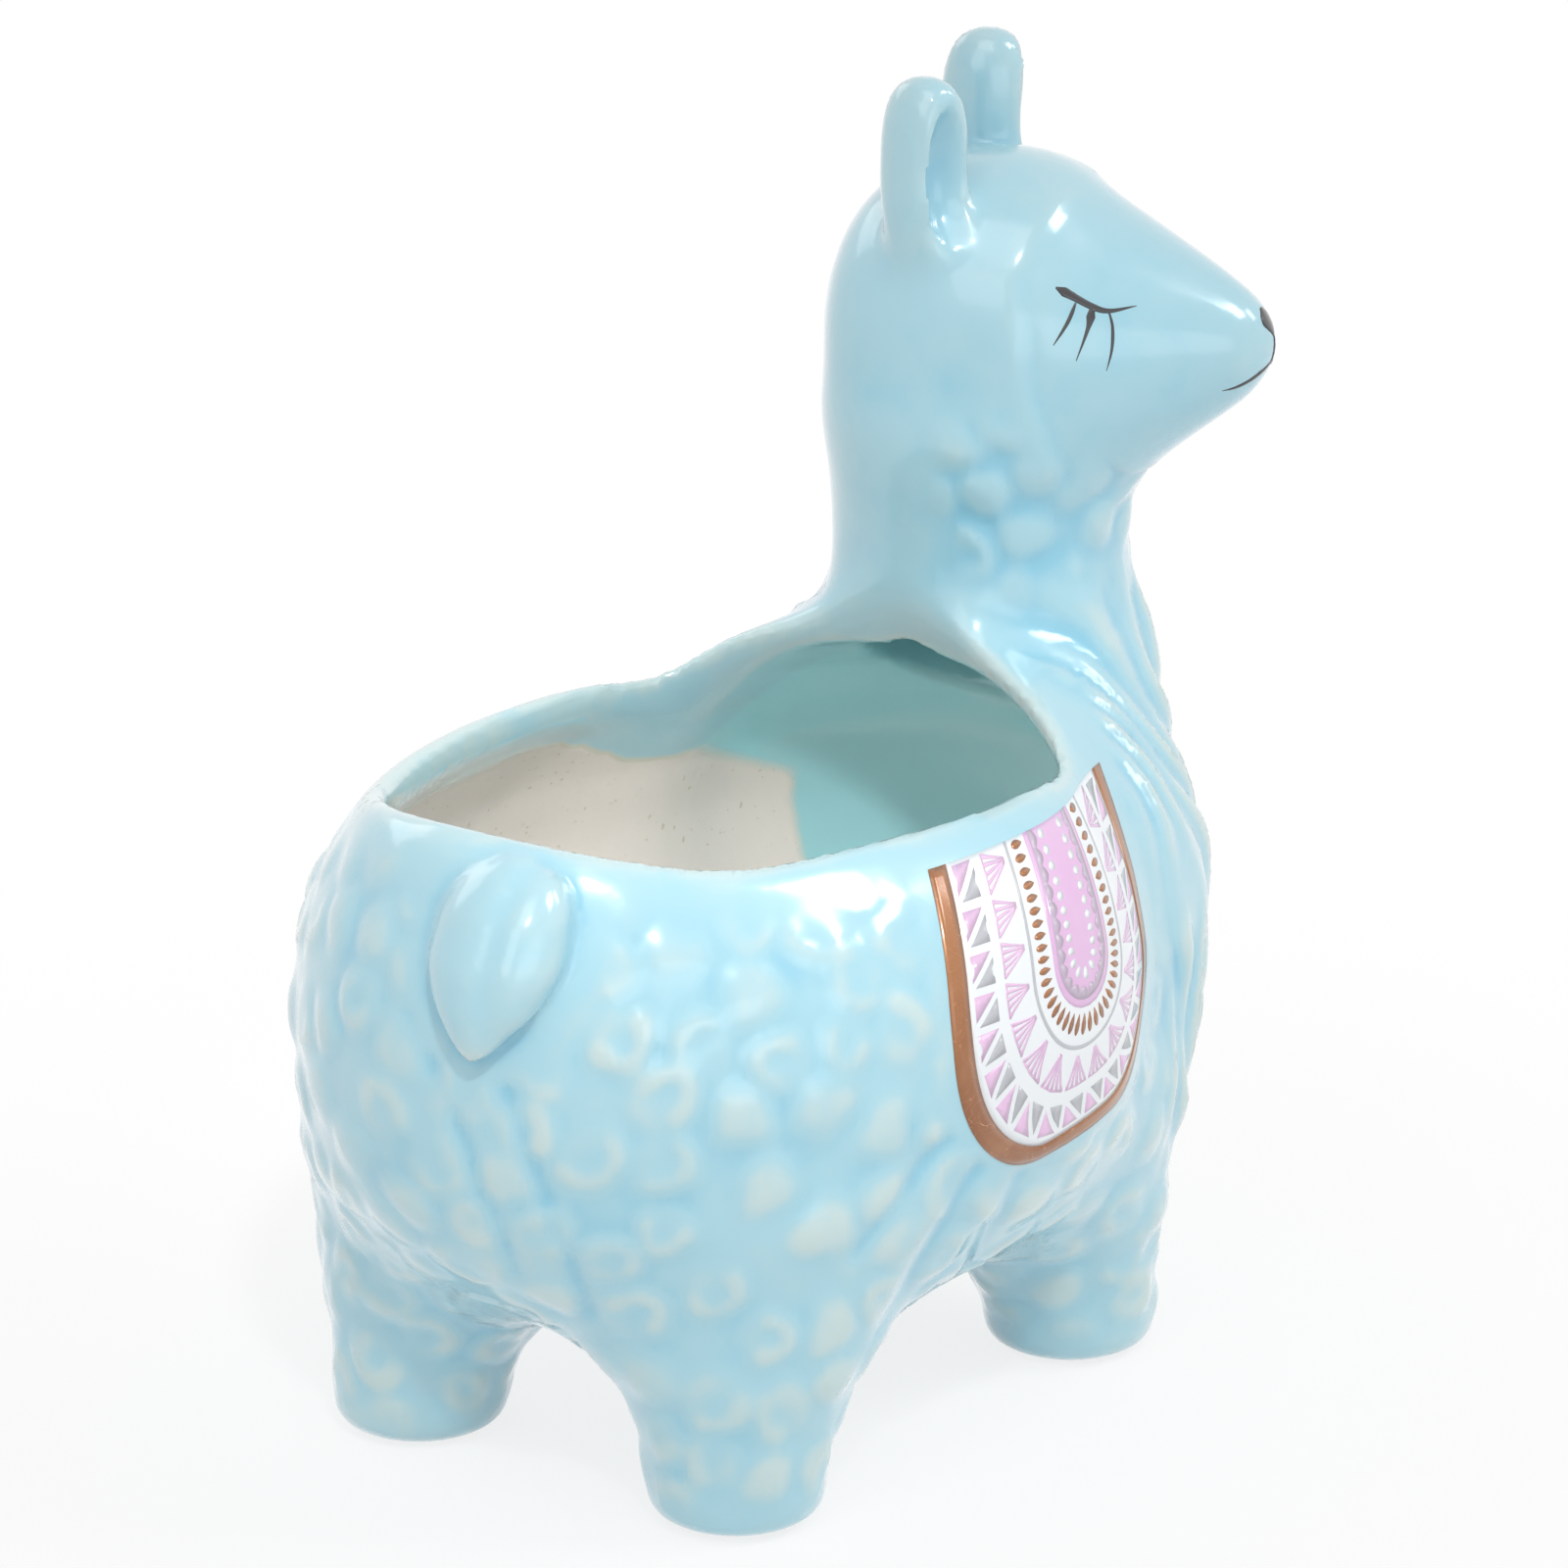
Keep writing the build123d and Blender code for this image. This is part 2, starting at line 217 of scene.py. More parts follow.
along, across = along_head(X, Y)
head_rows = ((0.000, 0.02, 0.09, 0.10), (0.024, 0.02, 0.36, 0.39), (0.076, 0.00, 0.64, 0.68),
             (0.169, -0.02, 0.865, 0.89), (0.288, 0.00, 0.98, 0.99), (0.407, 0.00, 1.00, 1.00),
             (0.525, -0.02, 0.95, 0.95), (0.627, -0.09, 0.827, 0.84), (0.729, -0.085, 0.664, 0.68),
             (0.831, -0.065, 0.486, 0.485), (0.915, -0.05, 0.314, 0.326), (0.969, -0.04, 0.177, 0.19),
             (1.000, -0.03, 0.060, 0.06))
rise, tall, wide = smooth_rows(head_rows, along / head_length)
tall, wide = tall * head_height / 2, wide * head_width / 2
upward = Z - head_level - rise * head_height / 2
head = even(np.sqrt((upward / tall)**2 + (across / wide)**2) - 1)
head = keep(head, np.maximum(-along, along - head_length), 1.5)
from_skull = np.sqrt(np.maximum(skull_radius - along, 0)**2 + (Z - head_level)**2 + across**2) - skull_radius
head = np.maximum(bounded(head, (across, -head_width / 2, head_width / 2), (along, 0, head_length)), from_skull)
neck = bounded(neck, (Z, neck_bottom, neck_top), (X, neck_axis - 26, neck_axis + 20), (Y, -30, 30))
body = soften(join(body, join(neck, head, 9), 12), 2.2)
print("head", head_length, "mm long, turned", round(math.degrees(head_turn)), "degrees")

# %% [markdown]
# ## Ears and tail
# The ears are upright leaves, hollowed from the front. The tail is a leaf that lies on the rump, a little to the
# right of the spine, and keeps a crisp edge, so its fillet is narrow.

# %% Ears and tail
ear_side, ear_place, ear_middle, ear_open = 14.3, 16.6, 147.4, math.radians(14)
ear_deep, ear_broad, ear_half_height = 5.9, 4.4, 12.6
for mirror_side in (1, -1):
    dx, dy = along - ear_place, (across - mirror_side * ear_side) * mirror_side
    ear_front = dx * math.cos(ear_open) + dy * math.sin(ear_open)
    ear_wide = dy * math.cos(ear_open) - dx * math.sin(ear_open)
    raised = (Z - ear_middle) / ear_half_height
    leaf = 1 - 0.14 * swell(-raised)
    ear = ((ear_front / (ear_deep * leaf))**2 + (ear_wide / (ear_broad * leaf))**2)**1.3 + np.abs(raised)**3.2
    ear = (ear**(1 / 2.6) - 1) * ear_broad
    scoop = np.sqrt(((ear_front - 6.6) / 6.4)**2 + ((ear_wide - 0.9) / 3.3)**2 + ((Z - 147.8) / 10.2)**2)
    body = join(body, cut(ear, (scoop - 1) * 3.3, 1.6), 4)
tail_bottom, tail_top, tail_middle, tail_lean = 63.5, 86.0, -10, math.radians(22)
tail_rows = ((63.5, 0.12), (66.6, 0.48), (70.7, 0.82), (75.2, 1.00), (79.7, 0.96), (83.8, 0.68), (86.0, 0.24))
tail_size, = smooth_rows(tail_rows, Z)
tail_x = -57.1 - (tail_top - Z) * math.tan(tail_lean)
tail = even(np.sqrt(((Y - tail_middle) / (8.5 * tail_size))**2 + ((X - tail_x) / (6.5 * tail_size))**2) - 1)
tail = keep(tail, np.maximum(tail_bottom - Z, Z - tail_top), 1)
tail = bounded(tail, (Z, tail_bottom, tail_top), (X, -74, -50), (Y, -18.5, -1.5))
body = join(body, tail, 2)
print("outer form ready")

# %% [markdown]
# ## The planting hole
# The hole is a smooth outline on the back, cut along a line that leans towards the tail, so that it climbs the
# foot of the neck as an arch. Its outline is measured once, flat, and then read for each point of space.

# %% Hole, hollow and finished clay
hole_rear, hole_length, hole_half_width, hole_lean, hole_level = -49.8, 88.1, 33.0, math.radians(32.5), 80.0
hole_floor, drain_radius, drain_top = 66, 4.0, 30
hole_rows = ((0.000, 0.00), (0.047, 0.46), (0.182, 0.81), (0.448, 1.00), (0.677, 1.01), (0.837, 0.87),
             (0.951, 0.47), (1.000, 0.00))


def between(a, b, c, d, share):
    """Places from b to c on the smooth curve that runs through a, b, c and d."""
    return 0.5 * (2 * b + (c - a) * share + (2 * a - 5 * b + 4 * c - d) * share**2
                  + (3 * b - a - 3 * c + d) * share**3)


def closed_curve(points, count=400):
    """A smooth closed curve through a few points."""
    points = np.array(points, float)
    t = np.arange(count) / count * len(points)
    i, share = t.astype(int), (t - t.astype(int))[:, None]
    return between(*(points[(i + k) % len(points)] for k in (-1, 0, 1, 2)), share)


right_half = [(hole_rear + hole_length * a, -hole_half_width * s) for a, s in hole_rows]
outline = closed_curve(right_half + [(a, -s) for a, s in reversed(right_half[1:-1])])


def flat_distance(px, py, curve):
    """Distance from many flat points to a closed curve, negative inside it."""
    a, b = curve, np.roll(curve, -1, axis=0)
    ab = b - a
    best = np.full(px.shape, 1e9)
    odd = np.zeros(px.shape, bool)
    for (ax, ay), (bx, by), (dx, dy) in zip(a, b, ab):
        t = np.clip(((px - ax) * dx + (py - ay) * dy) / (dx * dx + dy * dy), 0, 1)
        best = np.minimum(best, (px - ax - t * dx)**2 + (py - ay - t * dy)**2)
        crosses = (ay > py) != (by > py)
        odd ^= crosses & (px < ax + (py - ay) * dx / (dy if dy else 1e-9))
    return np.where(odd, -1, 1) * np.sqrt(best)


flat_x = np.arange(low[0] - 60, high[0] + 60, 1.0)
flat_y = np.arange(low[1] - 2, high[1] + 2, 1.0)
flat = flat_distance(flat_x[:, None] + 0 * flat_y, flat_y + 0 * flat_x[:, None], outline)


def read_flat(px, py):
    """Reads the flat distance table between its places, which lie one millimetre apart."""
    u = np.clip(px - flat_x[0], 0, len(flat_x) - 1.001)
    v = np.clip(py - flat_y[0], 0, len(flat_y) - 1.001)
    i, j = u.astype(int), v.astype(int)
    u, v = u - i, v - j
    return ((flat[i, j] * (1 - u) + flat[i + 1, j] * u) * (1 - v)
            + (flat[i, j + 1] * (1 - u) + flat[i + 1, j + 1] * u) * v)


leaned_x = X + (Z - hole_level) * math.tan(hole_lean)
hole = np.maximum(read_flat(leaned_x + 0 * Y, Y + 0 * leaned_x) * 0.95, hole_floor - Z)
drain = np.maximum(np.sqrt(X**2 + Y**2) - drain_radius, Z - drain_top)
hollow = join(join(cavity, bore, 2), np.maximum(leg_hollows, torso_oval), 3)
clay = cut(cut(cut(body, hole, 5.5), hollow, 2.6), drain, 1.0)
print("clay ready, wall", wall, "mm")

# %% [markdown]
# ## From field to skin
# A skin is found by walking over the block of cells: each cell that the surface passes through gets one point,
# at the mean of the places where the surface cuts its edges, and each cut edge becomes a four-sided face
# between its four cells. The points are then pushed exactly onto the surface.

# %% Skin of the clay
def read(field, points):
    """Reads a field between its cells, at many points."""
    q = np.clip((points - low) / cell, 0, np.array(field.shape) - 1.001)
    i = q.astype(int)
    t = q - i
    total = 0
    for corner in np.ndindex(2, 2, 2):
        weight = np.prod(np.where(corner, t, 1 - t), axis=1)
        total = total + weight * field[tuple((i + corner).T)]
    return total


def unit(vectors):
    """Rows of vectors, each made one long."""
    return vectors / np.maximum(np.linalg.norm(vectors, axis=1, keepdims=True), 1e-9)


def gather(index, values, count):
    """For each of count places, the sum of the rows of values that belong to it."""
    return np.stack([np.bincount(index, weights=column, minlength=count) for column in values.T], axis=1)


def slope_at(field, points, reach=0.6):
    """The direction in which a field grows, at many points."""
    slopes = []
    for axis in range(3):
        offset = np.zeros(3)
        offset[axis] = reach
        slopes.append(read(field, points + offset) - read(field, points - offset))
    return unit(np.stack(slopes, axis=1))


def skin(field):
    """Points and four-sided faces where the field crosses zero."""
    inside = field < 0
    owners, places, quads = [], [], []
    for axis in range(3):
        first, second = [slice(None)] * 3, [slice(None)] * 3
        first[axis], second[axis] = slice(None, -1), slice(1, None)
        cuts = np.argwhere(inside[tuple(first)] != inside[tuple(second)])
        ends = cuts.copy()
        ends[:, axis] += 1
        a, b = field[tuple(cuts.T)], field[tuple(ends.T)]
        place = cuts.astype(float)
        place[:, axis] += a / (a - b)
        u, w = (axis + 1) % 3, (axis + 2) % 3
        ring = []
        for du, dw in ((0, 0), (1, 0), (1, 1), (0, 1)):
            owner = cuts.copy()
            owner[:, u] -= du
            owner[:, w] -= dw
            ring.append(np.ravel_multi_index(owner.T, field.shape))
        ring = np.stack(ring, axis=1)
        outward = (a < 0)[:, None]
        quads.append(np.where(outward, ring, ring[:, ::-1]))
        owners.append(ring.ravel())
        places.append(np.repeat(place, 4, axis=0))
    cells, index = np.unique(np.concatenate(owners), return_inverse=True)
    points = gather(index, np.concatenate(places), len(cells)) / np.bincount(index)[:, None]
    return low + cell * points, np.searchsorted(cells, np.concatenate(quads))


points, faces = skin(clay)
for _ in range(3):
    points -= slope_at(clay, points) * np.clip(read(clay, points), -0.5, 0.5)[:, None]
print("skin of", len(points), "points and", len(faces), "faces")

# %% [markdown]
# ## The fleece
# The mould for such a pot is carved with small curls: round lobes, hooks and crescents, each about as wide as a
# lentil. The glaze runs off them and gathers between them. Here every curl is a seed point on the skin, kept a
# little apart from its neighbours, and it lifts the points around it along the skin's outward direction.

# %% Which points belong to what
rng = np.random.default_rng(7)
outward = slope_at(clay, points)
on_lining = read(hollow, points) < 0.9
at_rim = read(hole, points)
x, y, z = points.T
head_along, head_across = along_head(x, y)
wool_edge = np.interp(z, (100, 111, 122.5, 135.6, 139.9, 143.2, 147), (38, 34.6, 31.2, 29.4, 31.1, 32.9, 36))
behind_wool_edge = wool_edge - head_along
on_head = z + 0.25 * (x - 48) > 96


def blanket_axis(z):
    """Where the middle of the blanket runs: it leans forward a little near the rim."""
    return 2.9 + 0.016 * np.maximum(z - 60, 0)**2


far_off, corner_level = 20, 59
from_axis = np.abs(x - blanket_axis(z))
corner = np.sqrt(np.maximum(from_axis - 9, 0)**2 + np.maximum(corner_level - z, 0)**2)
off_blanket = np.where(z > corner_level, from_axis - 25, corner - 16.5)
off_blanket = np.where(np.abs(y) > 22, off_blanket, far_off)
tail_off = np.sqrt(((y - tail_middle) / 10.5)**2 + ((z - 75) / 13.5)**2) - 1
tail_off = np.where(x < -52, tail_off * 8, far_off)
on_neck = swell((z - 88) / 14)
behind_neck = swell((22 - head_along) / 6) * on_neck
fleece = swell((at_rim - 3.5) / 9) * swell(off_blanket / 2.5) * swell(tail_off / 2) * swell((z - 2) / 5)
below_jaw = np.maximum(swell((behind_wool_edge - 1) / 4), swell((115 - z) / 6))
fleece *= below_jaw * (1 - 0.95 * behind_neck) * swell((122 - z) / 10)
fleece = np.where(on_lining | (outward[:, 2] < -0.75), 0, fleece)
print("outer points", int((~on_lining).sum()), "of", len(points))

# %% Curls
class Near:
    """Finds the points of a cloud near a place, by sorting them into boxes."""

    def __init__(self, cloud, reach):
        self.cloud, self.reach, self.boxes = cloud, reach, {}
        keys = np.floor(cloud / reach).astype(int)
        order = np.lexsort(keys.T)
        starts = np.flatnonzero(np.any(np.diff(keys[order], axis=0) != 0, axis=1)) + 1
        for chunk in np.split(order, starts):
            self.boxes[tuple(keys[chunk[0]])] = chunk

    def at(self, place):
        key = np.floor(place / self.reach).astype(int)
        found = [self.boxes[tuple(key + step)] for step in np.array(list(np.ndindex(3, 3, 3))) - 1
                 if tuple(key + step) in self.boxes]
        found = np.concatenate(found)
        return found[np.sum((self.cloud[found] - place)**2, axis=1) < self.reach**2]


def curl(u, v, size, kind, hand):
    """Height of one curl, from 0 to 1, over its own flat coordinates: a lobe, a hook or a crescent by its kind."""
    u, v = u + 0.35 * np.sin(v * 0.8 + kind * 20), v * (0.84 + 0.26 * kind) + 0.35 * np.sin(u * 0.7 + kind * 31)
    r = np.sqrt(u * u + v * v) / size
    turn = np.mod(np.arctan2(v * hand, u), math.tau)
    if kind < 0.36:
        return swell((5.1 - r) / 3.9)
    span, tighten, wide = (5.1, 1.2, 1.3) if kind < 0.8 else (3.5, 0.3, 1.5)
    track = 3.15 - tighten * turn / math.tau
    hook = hill(r, track, wide) * swell(turn / 0.8) * swell(span - turn)
    core = 0.42 * swell((4.9 - r) / 2.2)
    return np.maximum(hook, core)


curl_spacing, curl_reach = 7.9, 9.5
relief = np.zeros(len(points))
near = Near(points, curl_reach)
taken = np.zeros(len(points), bool)
seeds = 0
for i in rng.permutation(np.flatnonzero(fleece > 0.15)):
    if taken[i]:
        continue
    around = near.at(points[i])
    offset = points[around] - points[i]
    spacing = (curl_spacing - 1.1 * swell((30 - points[i, 2]) / 25) - 1.4 * on_neck[i]) * rng.uniform(0.86, 1.12)
    taken[around[np.sum(offset**2, axis=1) < spacing**2]] = True
    side = np.cross(outward[i], (0, 0, 1.0) if abs(outward[i, 2]) < 0.9 else (1.0, 0, 0))
    side /= np.linalg.norm(side)
    up = np.cross(outward[i], side)
    turn = rng.uniform(0, math.tau)
    u_axis, v_axis = math.cos(turn) * side + math.sin(turn) * up, math.cos(turn) * up - math.sin(turn) * side
    size = rng.uniform(0.90, 1.08) * spacing / 7.6
    kind = rng.uniform() * (1 - 0.5 * on_neck[i])
    hand = rng.choice((-1, 1))
    strength = rng.uniform(0.65, 1.0)
    height = curl(offset @ u_axis, offset @ v_axis, size, kind, hand) * strength
    facing = outward[around] @ outward[i] > 0.2
    relief[around] = np.maximum(relief[around], np.where(facing, height, 0))
    seeds += 1
print("curls", seeds)

# %% Chest locks and the tail's fold
lock_width, lock_height = 5.2, 1.85
round_body = np.arctan2(y, x - 22) * 40
sway = 2.1 * np.sin(z / 7.3 + round_body / 8) + 1.3 * np.sin(z / 3.9 - round_body / 5 + 1) + 0.12 * np.abs(z - 60)
lock = (round_body + sway) / lock_width
locks = 0.5 + 0.5 * np.sin(lock * math.tau)
breaks = 0.5 + 0.5 * np.sin(z / (4.4 + 1.3 * np.sin(np.round(lock) * 3.7)) + np.round(lock) * 2.4)
locks = locks**1.3 * (0.25 + 0.75 * breaks)
chest = swell((x - 29) / 7) * (1 - on_neck) * swell((z - 22) / 12)
relief = np.maximum(relief * (1 - 0.8 * chest), lock_height * locks * chest) * fleece
on_tail = np.where(x < -55, swell(-tail_off / 1.5) * swell((z - 64) / 6), 0)
tail_fold = 0.2 * hill(y, -15.6, 1.6) - 0.35 * hill(y, -12.9, 1.8)
print("chest points", int((chest > 0.5).sum()))

# %% Means of neighbours
edge_a = faces.ravel()
edge_b = np.roll(faces, -1, axis=1).ravel()
shared = np.bincount(edge_a, minlength=len(points)) + np.bincount(edge_b, minlength=len(points))


def average(values, rounds):
    """Each point takes the mean of its neighbours, a number of times over."""
    values = np.array(values, float).reshape(len(points), -1)
    for _ in range(rounds):
        total = gather(edge_a, values[edge_b], len(points)) + gather(edge_b, values[edge_a], len(points))
        values = 0.35 * values + 0.65 * total / shared[:, None]
    return values.squeeze()


relief = average(relief, 2)
print("mean relief", relief.mean().round(3))

# %% [markdown]
# ## Folds at the thighs
# Where a leg meets the belly, the wool parts in a few short creases. Their lines are measured as the camera of
# this lesson sees them, in millimetres from the middle of its view. So each point of the skin is first seen from
# there, and sinks a little where it lies close to a line, with a low lip beside the crease.

# %% Folds at the thighs
view_turn, view_rise = math.radians(-53.2), math.radians(18)
view_middle, view_distance = np.array((7.3, 0, 76.1)), 1000
toward_camera = np.array((math.sin(view_turn) * math.cos(view_rise), -math.cos(view_turn) * math.cos(view_rise),
                          math.sin(view_rise)))
to_right = np.array((math.cos(view_turn), math.sin(view_turn), 0))
from_middle = points - view_middle
nearer = 1 / (1 - from_middle @ toward_camera / view_distance)
seen_x = nearer * (from_middle @ to_right)
seen_z = nearer * (from_middle @ np.cross(toward_camera, to_right))
fold_lines = (((-40, -26), (-34, -38), (-29, -52), (-24, -65)), ((-43, -34), (-38, -48), (-33, -60)),
              ((25, -45), (19, -55), (12, -68)), ((29, -48), (23, -60), (18, -70)),
              ((21, -42), (15, -50), (9, -58)))
folds = np.zeros(len(points))
for line in fold_lines:
    for (ax, az), (bx, bz) in zip(line, line[1:]):
        length = math.hypot(bx - ax, bz - az)
        run_x, run_z = (bx - ax) / length, (bz - az) / length
        along_line = np.clip((seen_x - ax) * run_x + (seen_z - az) * run_z, 0, length)
        off_x, off_z = seen_x - ax - along_line * run_x, seen_z - az - along_line * run_z
        off, beside = np.hypot(off_x, off_z), off_x * run_z - off_z * run_x
        creased = np.minimum(folds, -hill(off, 0, 0.9)) + 0.16 * hill(beside, 2.0, 1.1)
        folds = np.where(off < 4, creased, folds)
folds = average(folds * swell((outward @ toward_camera) / 0.3) * swell((z - 6) / 6), 1)
print("fold lines", len(fold_lines), "deepest", folds.min().round(2))

# %% Lift the skin
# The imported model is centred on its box, which lies 0.467 mm further back than the rows above are measured.
to_row_frame = np.array((-0.467, 0, 0))
tuft_height, tuft_sink, fold_depth, wool_step = 0.85, 0.45, 0.45, 0.5
wool_lip = swell(behind_wool_edge / 3.0 + 0.3) * np.exp(-np.maximum(behind_wool_edge, 0) / 8)
wool_lip *= swell((z - 104) / 6) * swell((150 - z) / 5) * swell((np.abs(head_across) - 3) / 5)
lift = (relief - tuft_sink * fleece) * tuft_height + fold_depth * folds * fleece
lift = lift + np.where(on_lining, 0, wool_lip * wool_step + on_tail * tail_fold)
points = points + outward * lift[:, None]
lowest, highest = np.array([list(corner) for corner in cad_box]) / MM - to_row_frame
points = np.clip(points, lowest, highest)
print("relief from", lift.min().round(2), "to", lift.max().round(2), "mm")

# %% [markdown]
# ## What the glaze needs to know
# Glaze is thin on every edge and curl, where the pale clay shows through as cream, and pools in every hollow,
# where it turns a deeper blue. How far a point lies above the mean of its neighbourhood says which it is. It is
# kept on the mesh as an attribute, fine for curls and lips, broad for folds and whole limbs. The broad one also
# carries painted shade, which turns the neck and the lower head the deeper blue. The lining keeps
# its distance from the lip, because inside, the glaze ends about as far down all round.

# %% Attributes of the skin
def above_mean(rounds):
    """How far each point lies above the mean of its neighbourhood, which grows with the rounds."""
    return np.sum((points - average(points, rounds)) * outward, axis=1)


fine, broad, thin_edge = above_mean(12), above_mean(90), above_mean(4)
calm = 1 - 0.55 * np.maximum(on_tail, np.maximum(swell((8 - z) / 4), swell((z - 134) / 4)))
ridge = calm * (fleece * np.tanh(average(fine, 1) / 0.21) + (1 - fleece) * np.tanh(average(thin_edge, 1) / 0.15))
# Painted shade: the neck term pushes the neck and the lower head towards the deep pool blue, standing in for the
# shade on the neck. The broad term is glaze pooling in hollows and thinning over swells.
pooling_and_neck_shade = np.clip(broad / 1.3, -1, 1) - 2.6 * on_neck * swell((144 - z) / 16)
lip = np.unique(edge_a[on_lining[edge_a] & ~on_lining[edge_b] & (z[edge_a] > 60)])
lip_tree = kdtree.KDTree(len(lip))
for number, place in enumerate(points[lip]):
    lip_tree.insert(place, number)
lip_tree.balance()
depth = np.zeros(len(points))
for i in np.flatnonzero(on_lining):
    depth[i] = lip_tree.find(points[i])[2]
print("lip of", len(lip), "points, lining down to", depth.max().round(1), "mm from it")

# %% Three pieces of skin
face_normals = np.cross(points[faces[:, 2]] - points[faces[:, 0]], points[faces[:, 3]] - points[faces[:, 1]])
normals = unit(gather(faces.ravel(), np.repeat(face_normals, 4, axis=0), len(points)))


def add_object(name, data):
    """Puts a mesh, a curve, a lamp or a camera into the scene."""
    added = bpy.data.objects.new(name, data)
    bpy.context.scene.collection.objects.link(added)
    return added


def piece_of_skin(name, chosen):
    """A mesh object from the chosen faces, with the whole skin's normals, so that no seam shows between pieces."""
    used, index = np.unique(faces[chosen], return_inverse=True)
    mesh = bpy.data.meshes.new(name)
    mesh.from_pydata(((points[used] + to_row_frame) * MM).tolist(), [], index.reshape(-1, 4).tolist())
    mesh.polygons.foreach_set("use_smooth", [True] * len(mesh.polygons))
    for title, values in (("ridge", ridge), ("pooling_and_neck_shade", pooling_and_neck_shade), ("depth", depth)):
        mesh.attributes.new(title, "FLOAT", "POINT").data.foreach_set("value", values[used].astype(np.float32))
    mesh.normals_split_custom_set_from_vertices(normals[used].tolist())
    print(name, len(mesh.polygons) * 2, "triangles")
    return add_object(name, mesh)


lining_face = on_lining[faces].all(axis=1)
head_face = on_head[faces].all(axis=1) & ~lining_face
pot_skin = piece_of_skin("pot_skin", ~lining_face & ~head_face)
head_skin = piece_of_skin("head_skin", head_face)
pot_lining = piece_of_skin("pot_lining", lining_face)
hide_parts("pot_body", "tail", "front_left_leg", "front_right_leg", "rear_left_leg", "rear_right_leg")
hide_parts("neck", "head", "ear_left", "ear_right")

# %% [markdown]
# ## The saddle blankets
# On the real pot a printed transfer is slid onto the glazed flank and fired again. A transfer starts flat: rings
# of teeth, drops and dots that run round a tongue. So each ring is drawn as a straight ribbon first, one small
# motif repeated along it. A node tree then repeats the motif, bends the ribbon between two rings, presses it on
# the flank from the side, and gives it the thickness of a coat of colour.

# %% The rings of the tongue
blanket_top, ring_steps, widest_square = 77.2, 1601, 6

def ring_flat(half, bottom):
    """One ring of the tongue, flat: down one side, round the bottom and up the other, in even steps."""
    corner = min(half, 13.0 + max(half - 14.6, 0) * 0.35)
    tall = corner * 1.1
    bend = np.linspace(0, math.pi / 2, 60)
    side_w = np.linspace(blanket_top + 1.5, bottom + tall, 60)[:-1]
    u = np.concatenate((np.full(len(side_w), -half), -half + corner * (1 - np.cos(bend))))
    w = np.concatenate((side_w, bottom + tall * (1 - np.sin(bend))))
    u, w = np.concatenate((u, -u[::-1])), np.concatenate((w, w[::-1]))
    step = np.concatenate(([0], np.cumsum(np.hypot(np.diff(u), np.diff(w)) + 1e-9)))
    even_steps = np.linspace(0, step[-1], ring_steps)
    return np.stack((np.interp(even_steps, step, u), np.interp(even_steps, step, w)), axis=1)


def on_flank(flat):
    """Leans, tilts and narrows a flat ring as the transfer lies on the flank; gives x and z."""
    u, w = flat.T
    w = w + 0.12 * np.maximum(u + 8, 0) * swell((72 - w) / 24)
    return blanket_axis(w) + u - 0.0035 * u * np.maximum(u, 0) + 0.0012 * u * np.minimum(u, 0), w


def nearest(places, ring):
    """For each place, the ring's closest point."""
    return ring[np.array([np.argmin((ring[:, 0] - a)**2 + (ring[:, 1] - b)**2) for a, b in places])]


def guide(name, flat):
    """A ring as a curve object, whose points the node tree reads by number."""
    curve = bpy.data.curves.new(name, "CURVE")
    curve.dimensions = "3D"
    spline = curve.splines.new("POLY")
    px, pz = on_flank(flat)
    spline.points.add(len(px) - 1)
    place = np.stack((px + to_row_frame[0], 0 * px, pz, np.full(len(px), 1 / MM)), axis=1) * MM
    spline.points.foreach_set("co", place.ravel())
    return add_object(name, curve)


def pair_of_guides(name, outer, inner):
    """Two rings whose points lie opposite each other: square to the line half way between them if the ribbon is
    narrow, and in even steps along each ring if it is wide, so that its outer corners keep their points."""
    rings = [ring_flat(*outer), ring_flat(*inner)]
    if outer[0] - inner[0] <= widest_square:
        half_way = ring_flat((outer[0] + inner[0]) / 2, (outer[1] + inner[1]) / 2)
        rings = [nearest(half_way, ring) for ring in rings]
    return [guide(name + end, ring) for end, ring in zip(("_outer", "_inner"), rings)]


ring_sizes = {  # half the width of each ring, and the height of its bottom, in mm
    "border_outer": (24.4, 41.2), "border_inner": (21.3, 43.1), "teeth_outer": (20.5, 43.9),
    "teeth_inner": (16.6, 47.2), "hatch_outer": (15.1, 48.6), "hatch_inner": (10.7, 52.7),
    "line_outer": (10.2, 53.2), "line_inner": (9.7, 53.7), "drops_outer": (9.0, 54.8),
    "drops_inner": (6.6, 57.8), "field_outer": (6.0, 58.4), "scallop_outer": (5.2, 59.4),
    "scallop_inner": (3.5, 61.2), "dots_outer": (3.2, 61.6), "dots_inner": (1.6, 63.6), "middle": (0.0, 66.0)}
print("rings", len(ring_sizes))

# %% Shorthand for nodes
def node(tree, kind, links=(), **values):
    """Adds a node; links are (input, socket or value) pairs, values are its properties."""
    made = tree.nodes.new(kind)
    for key, value in values.items():
        setattr(made, key, value)
    for target, source in links:
        if isinstance(source, bpy.types.NodeSocket):
            tree.links.new(source, made.inputs[target])
        else:
            made.inputs[target].default_value = source
    return made


def calc(tree, operation, *values, **more):
    """One step of arithmetic; gives its result."""
    return node(tree, "ShaderNodeMath", list(enumerate(values)), operation=operation, **more).outputs[0]


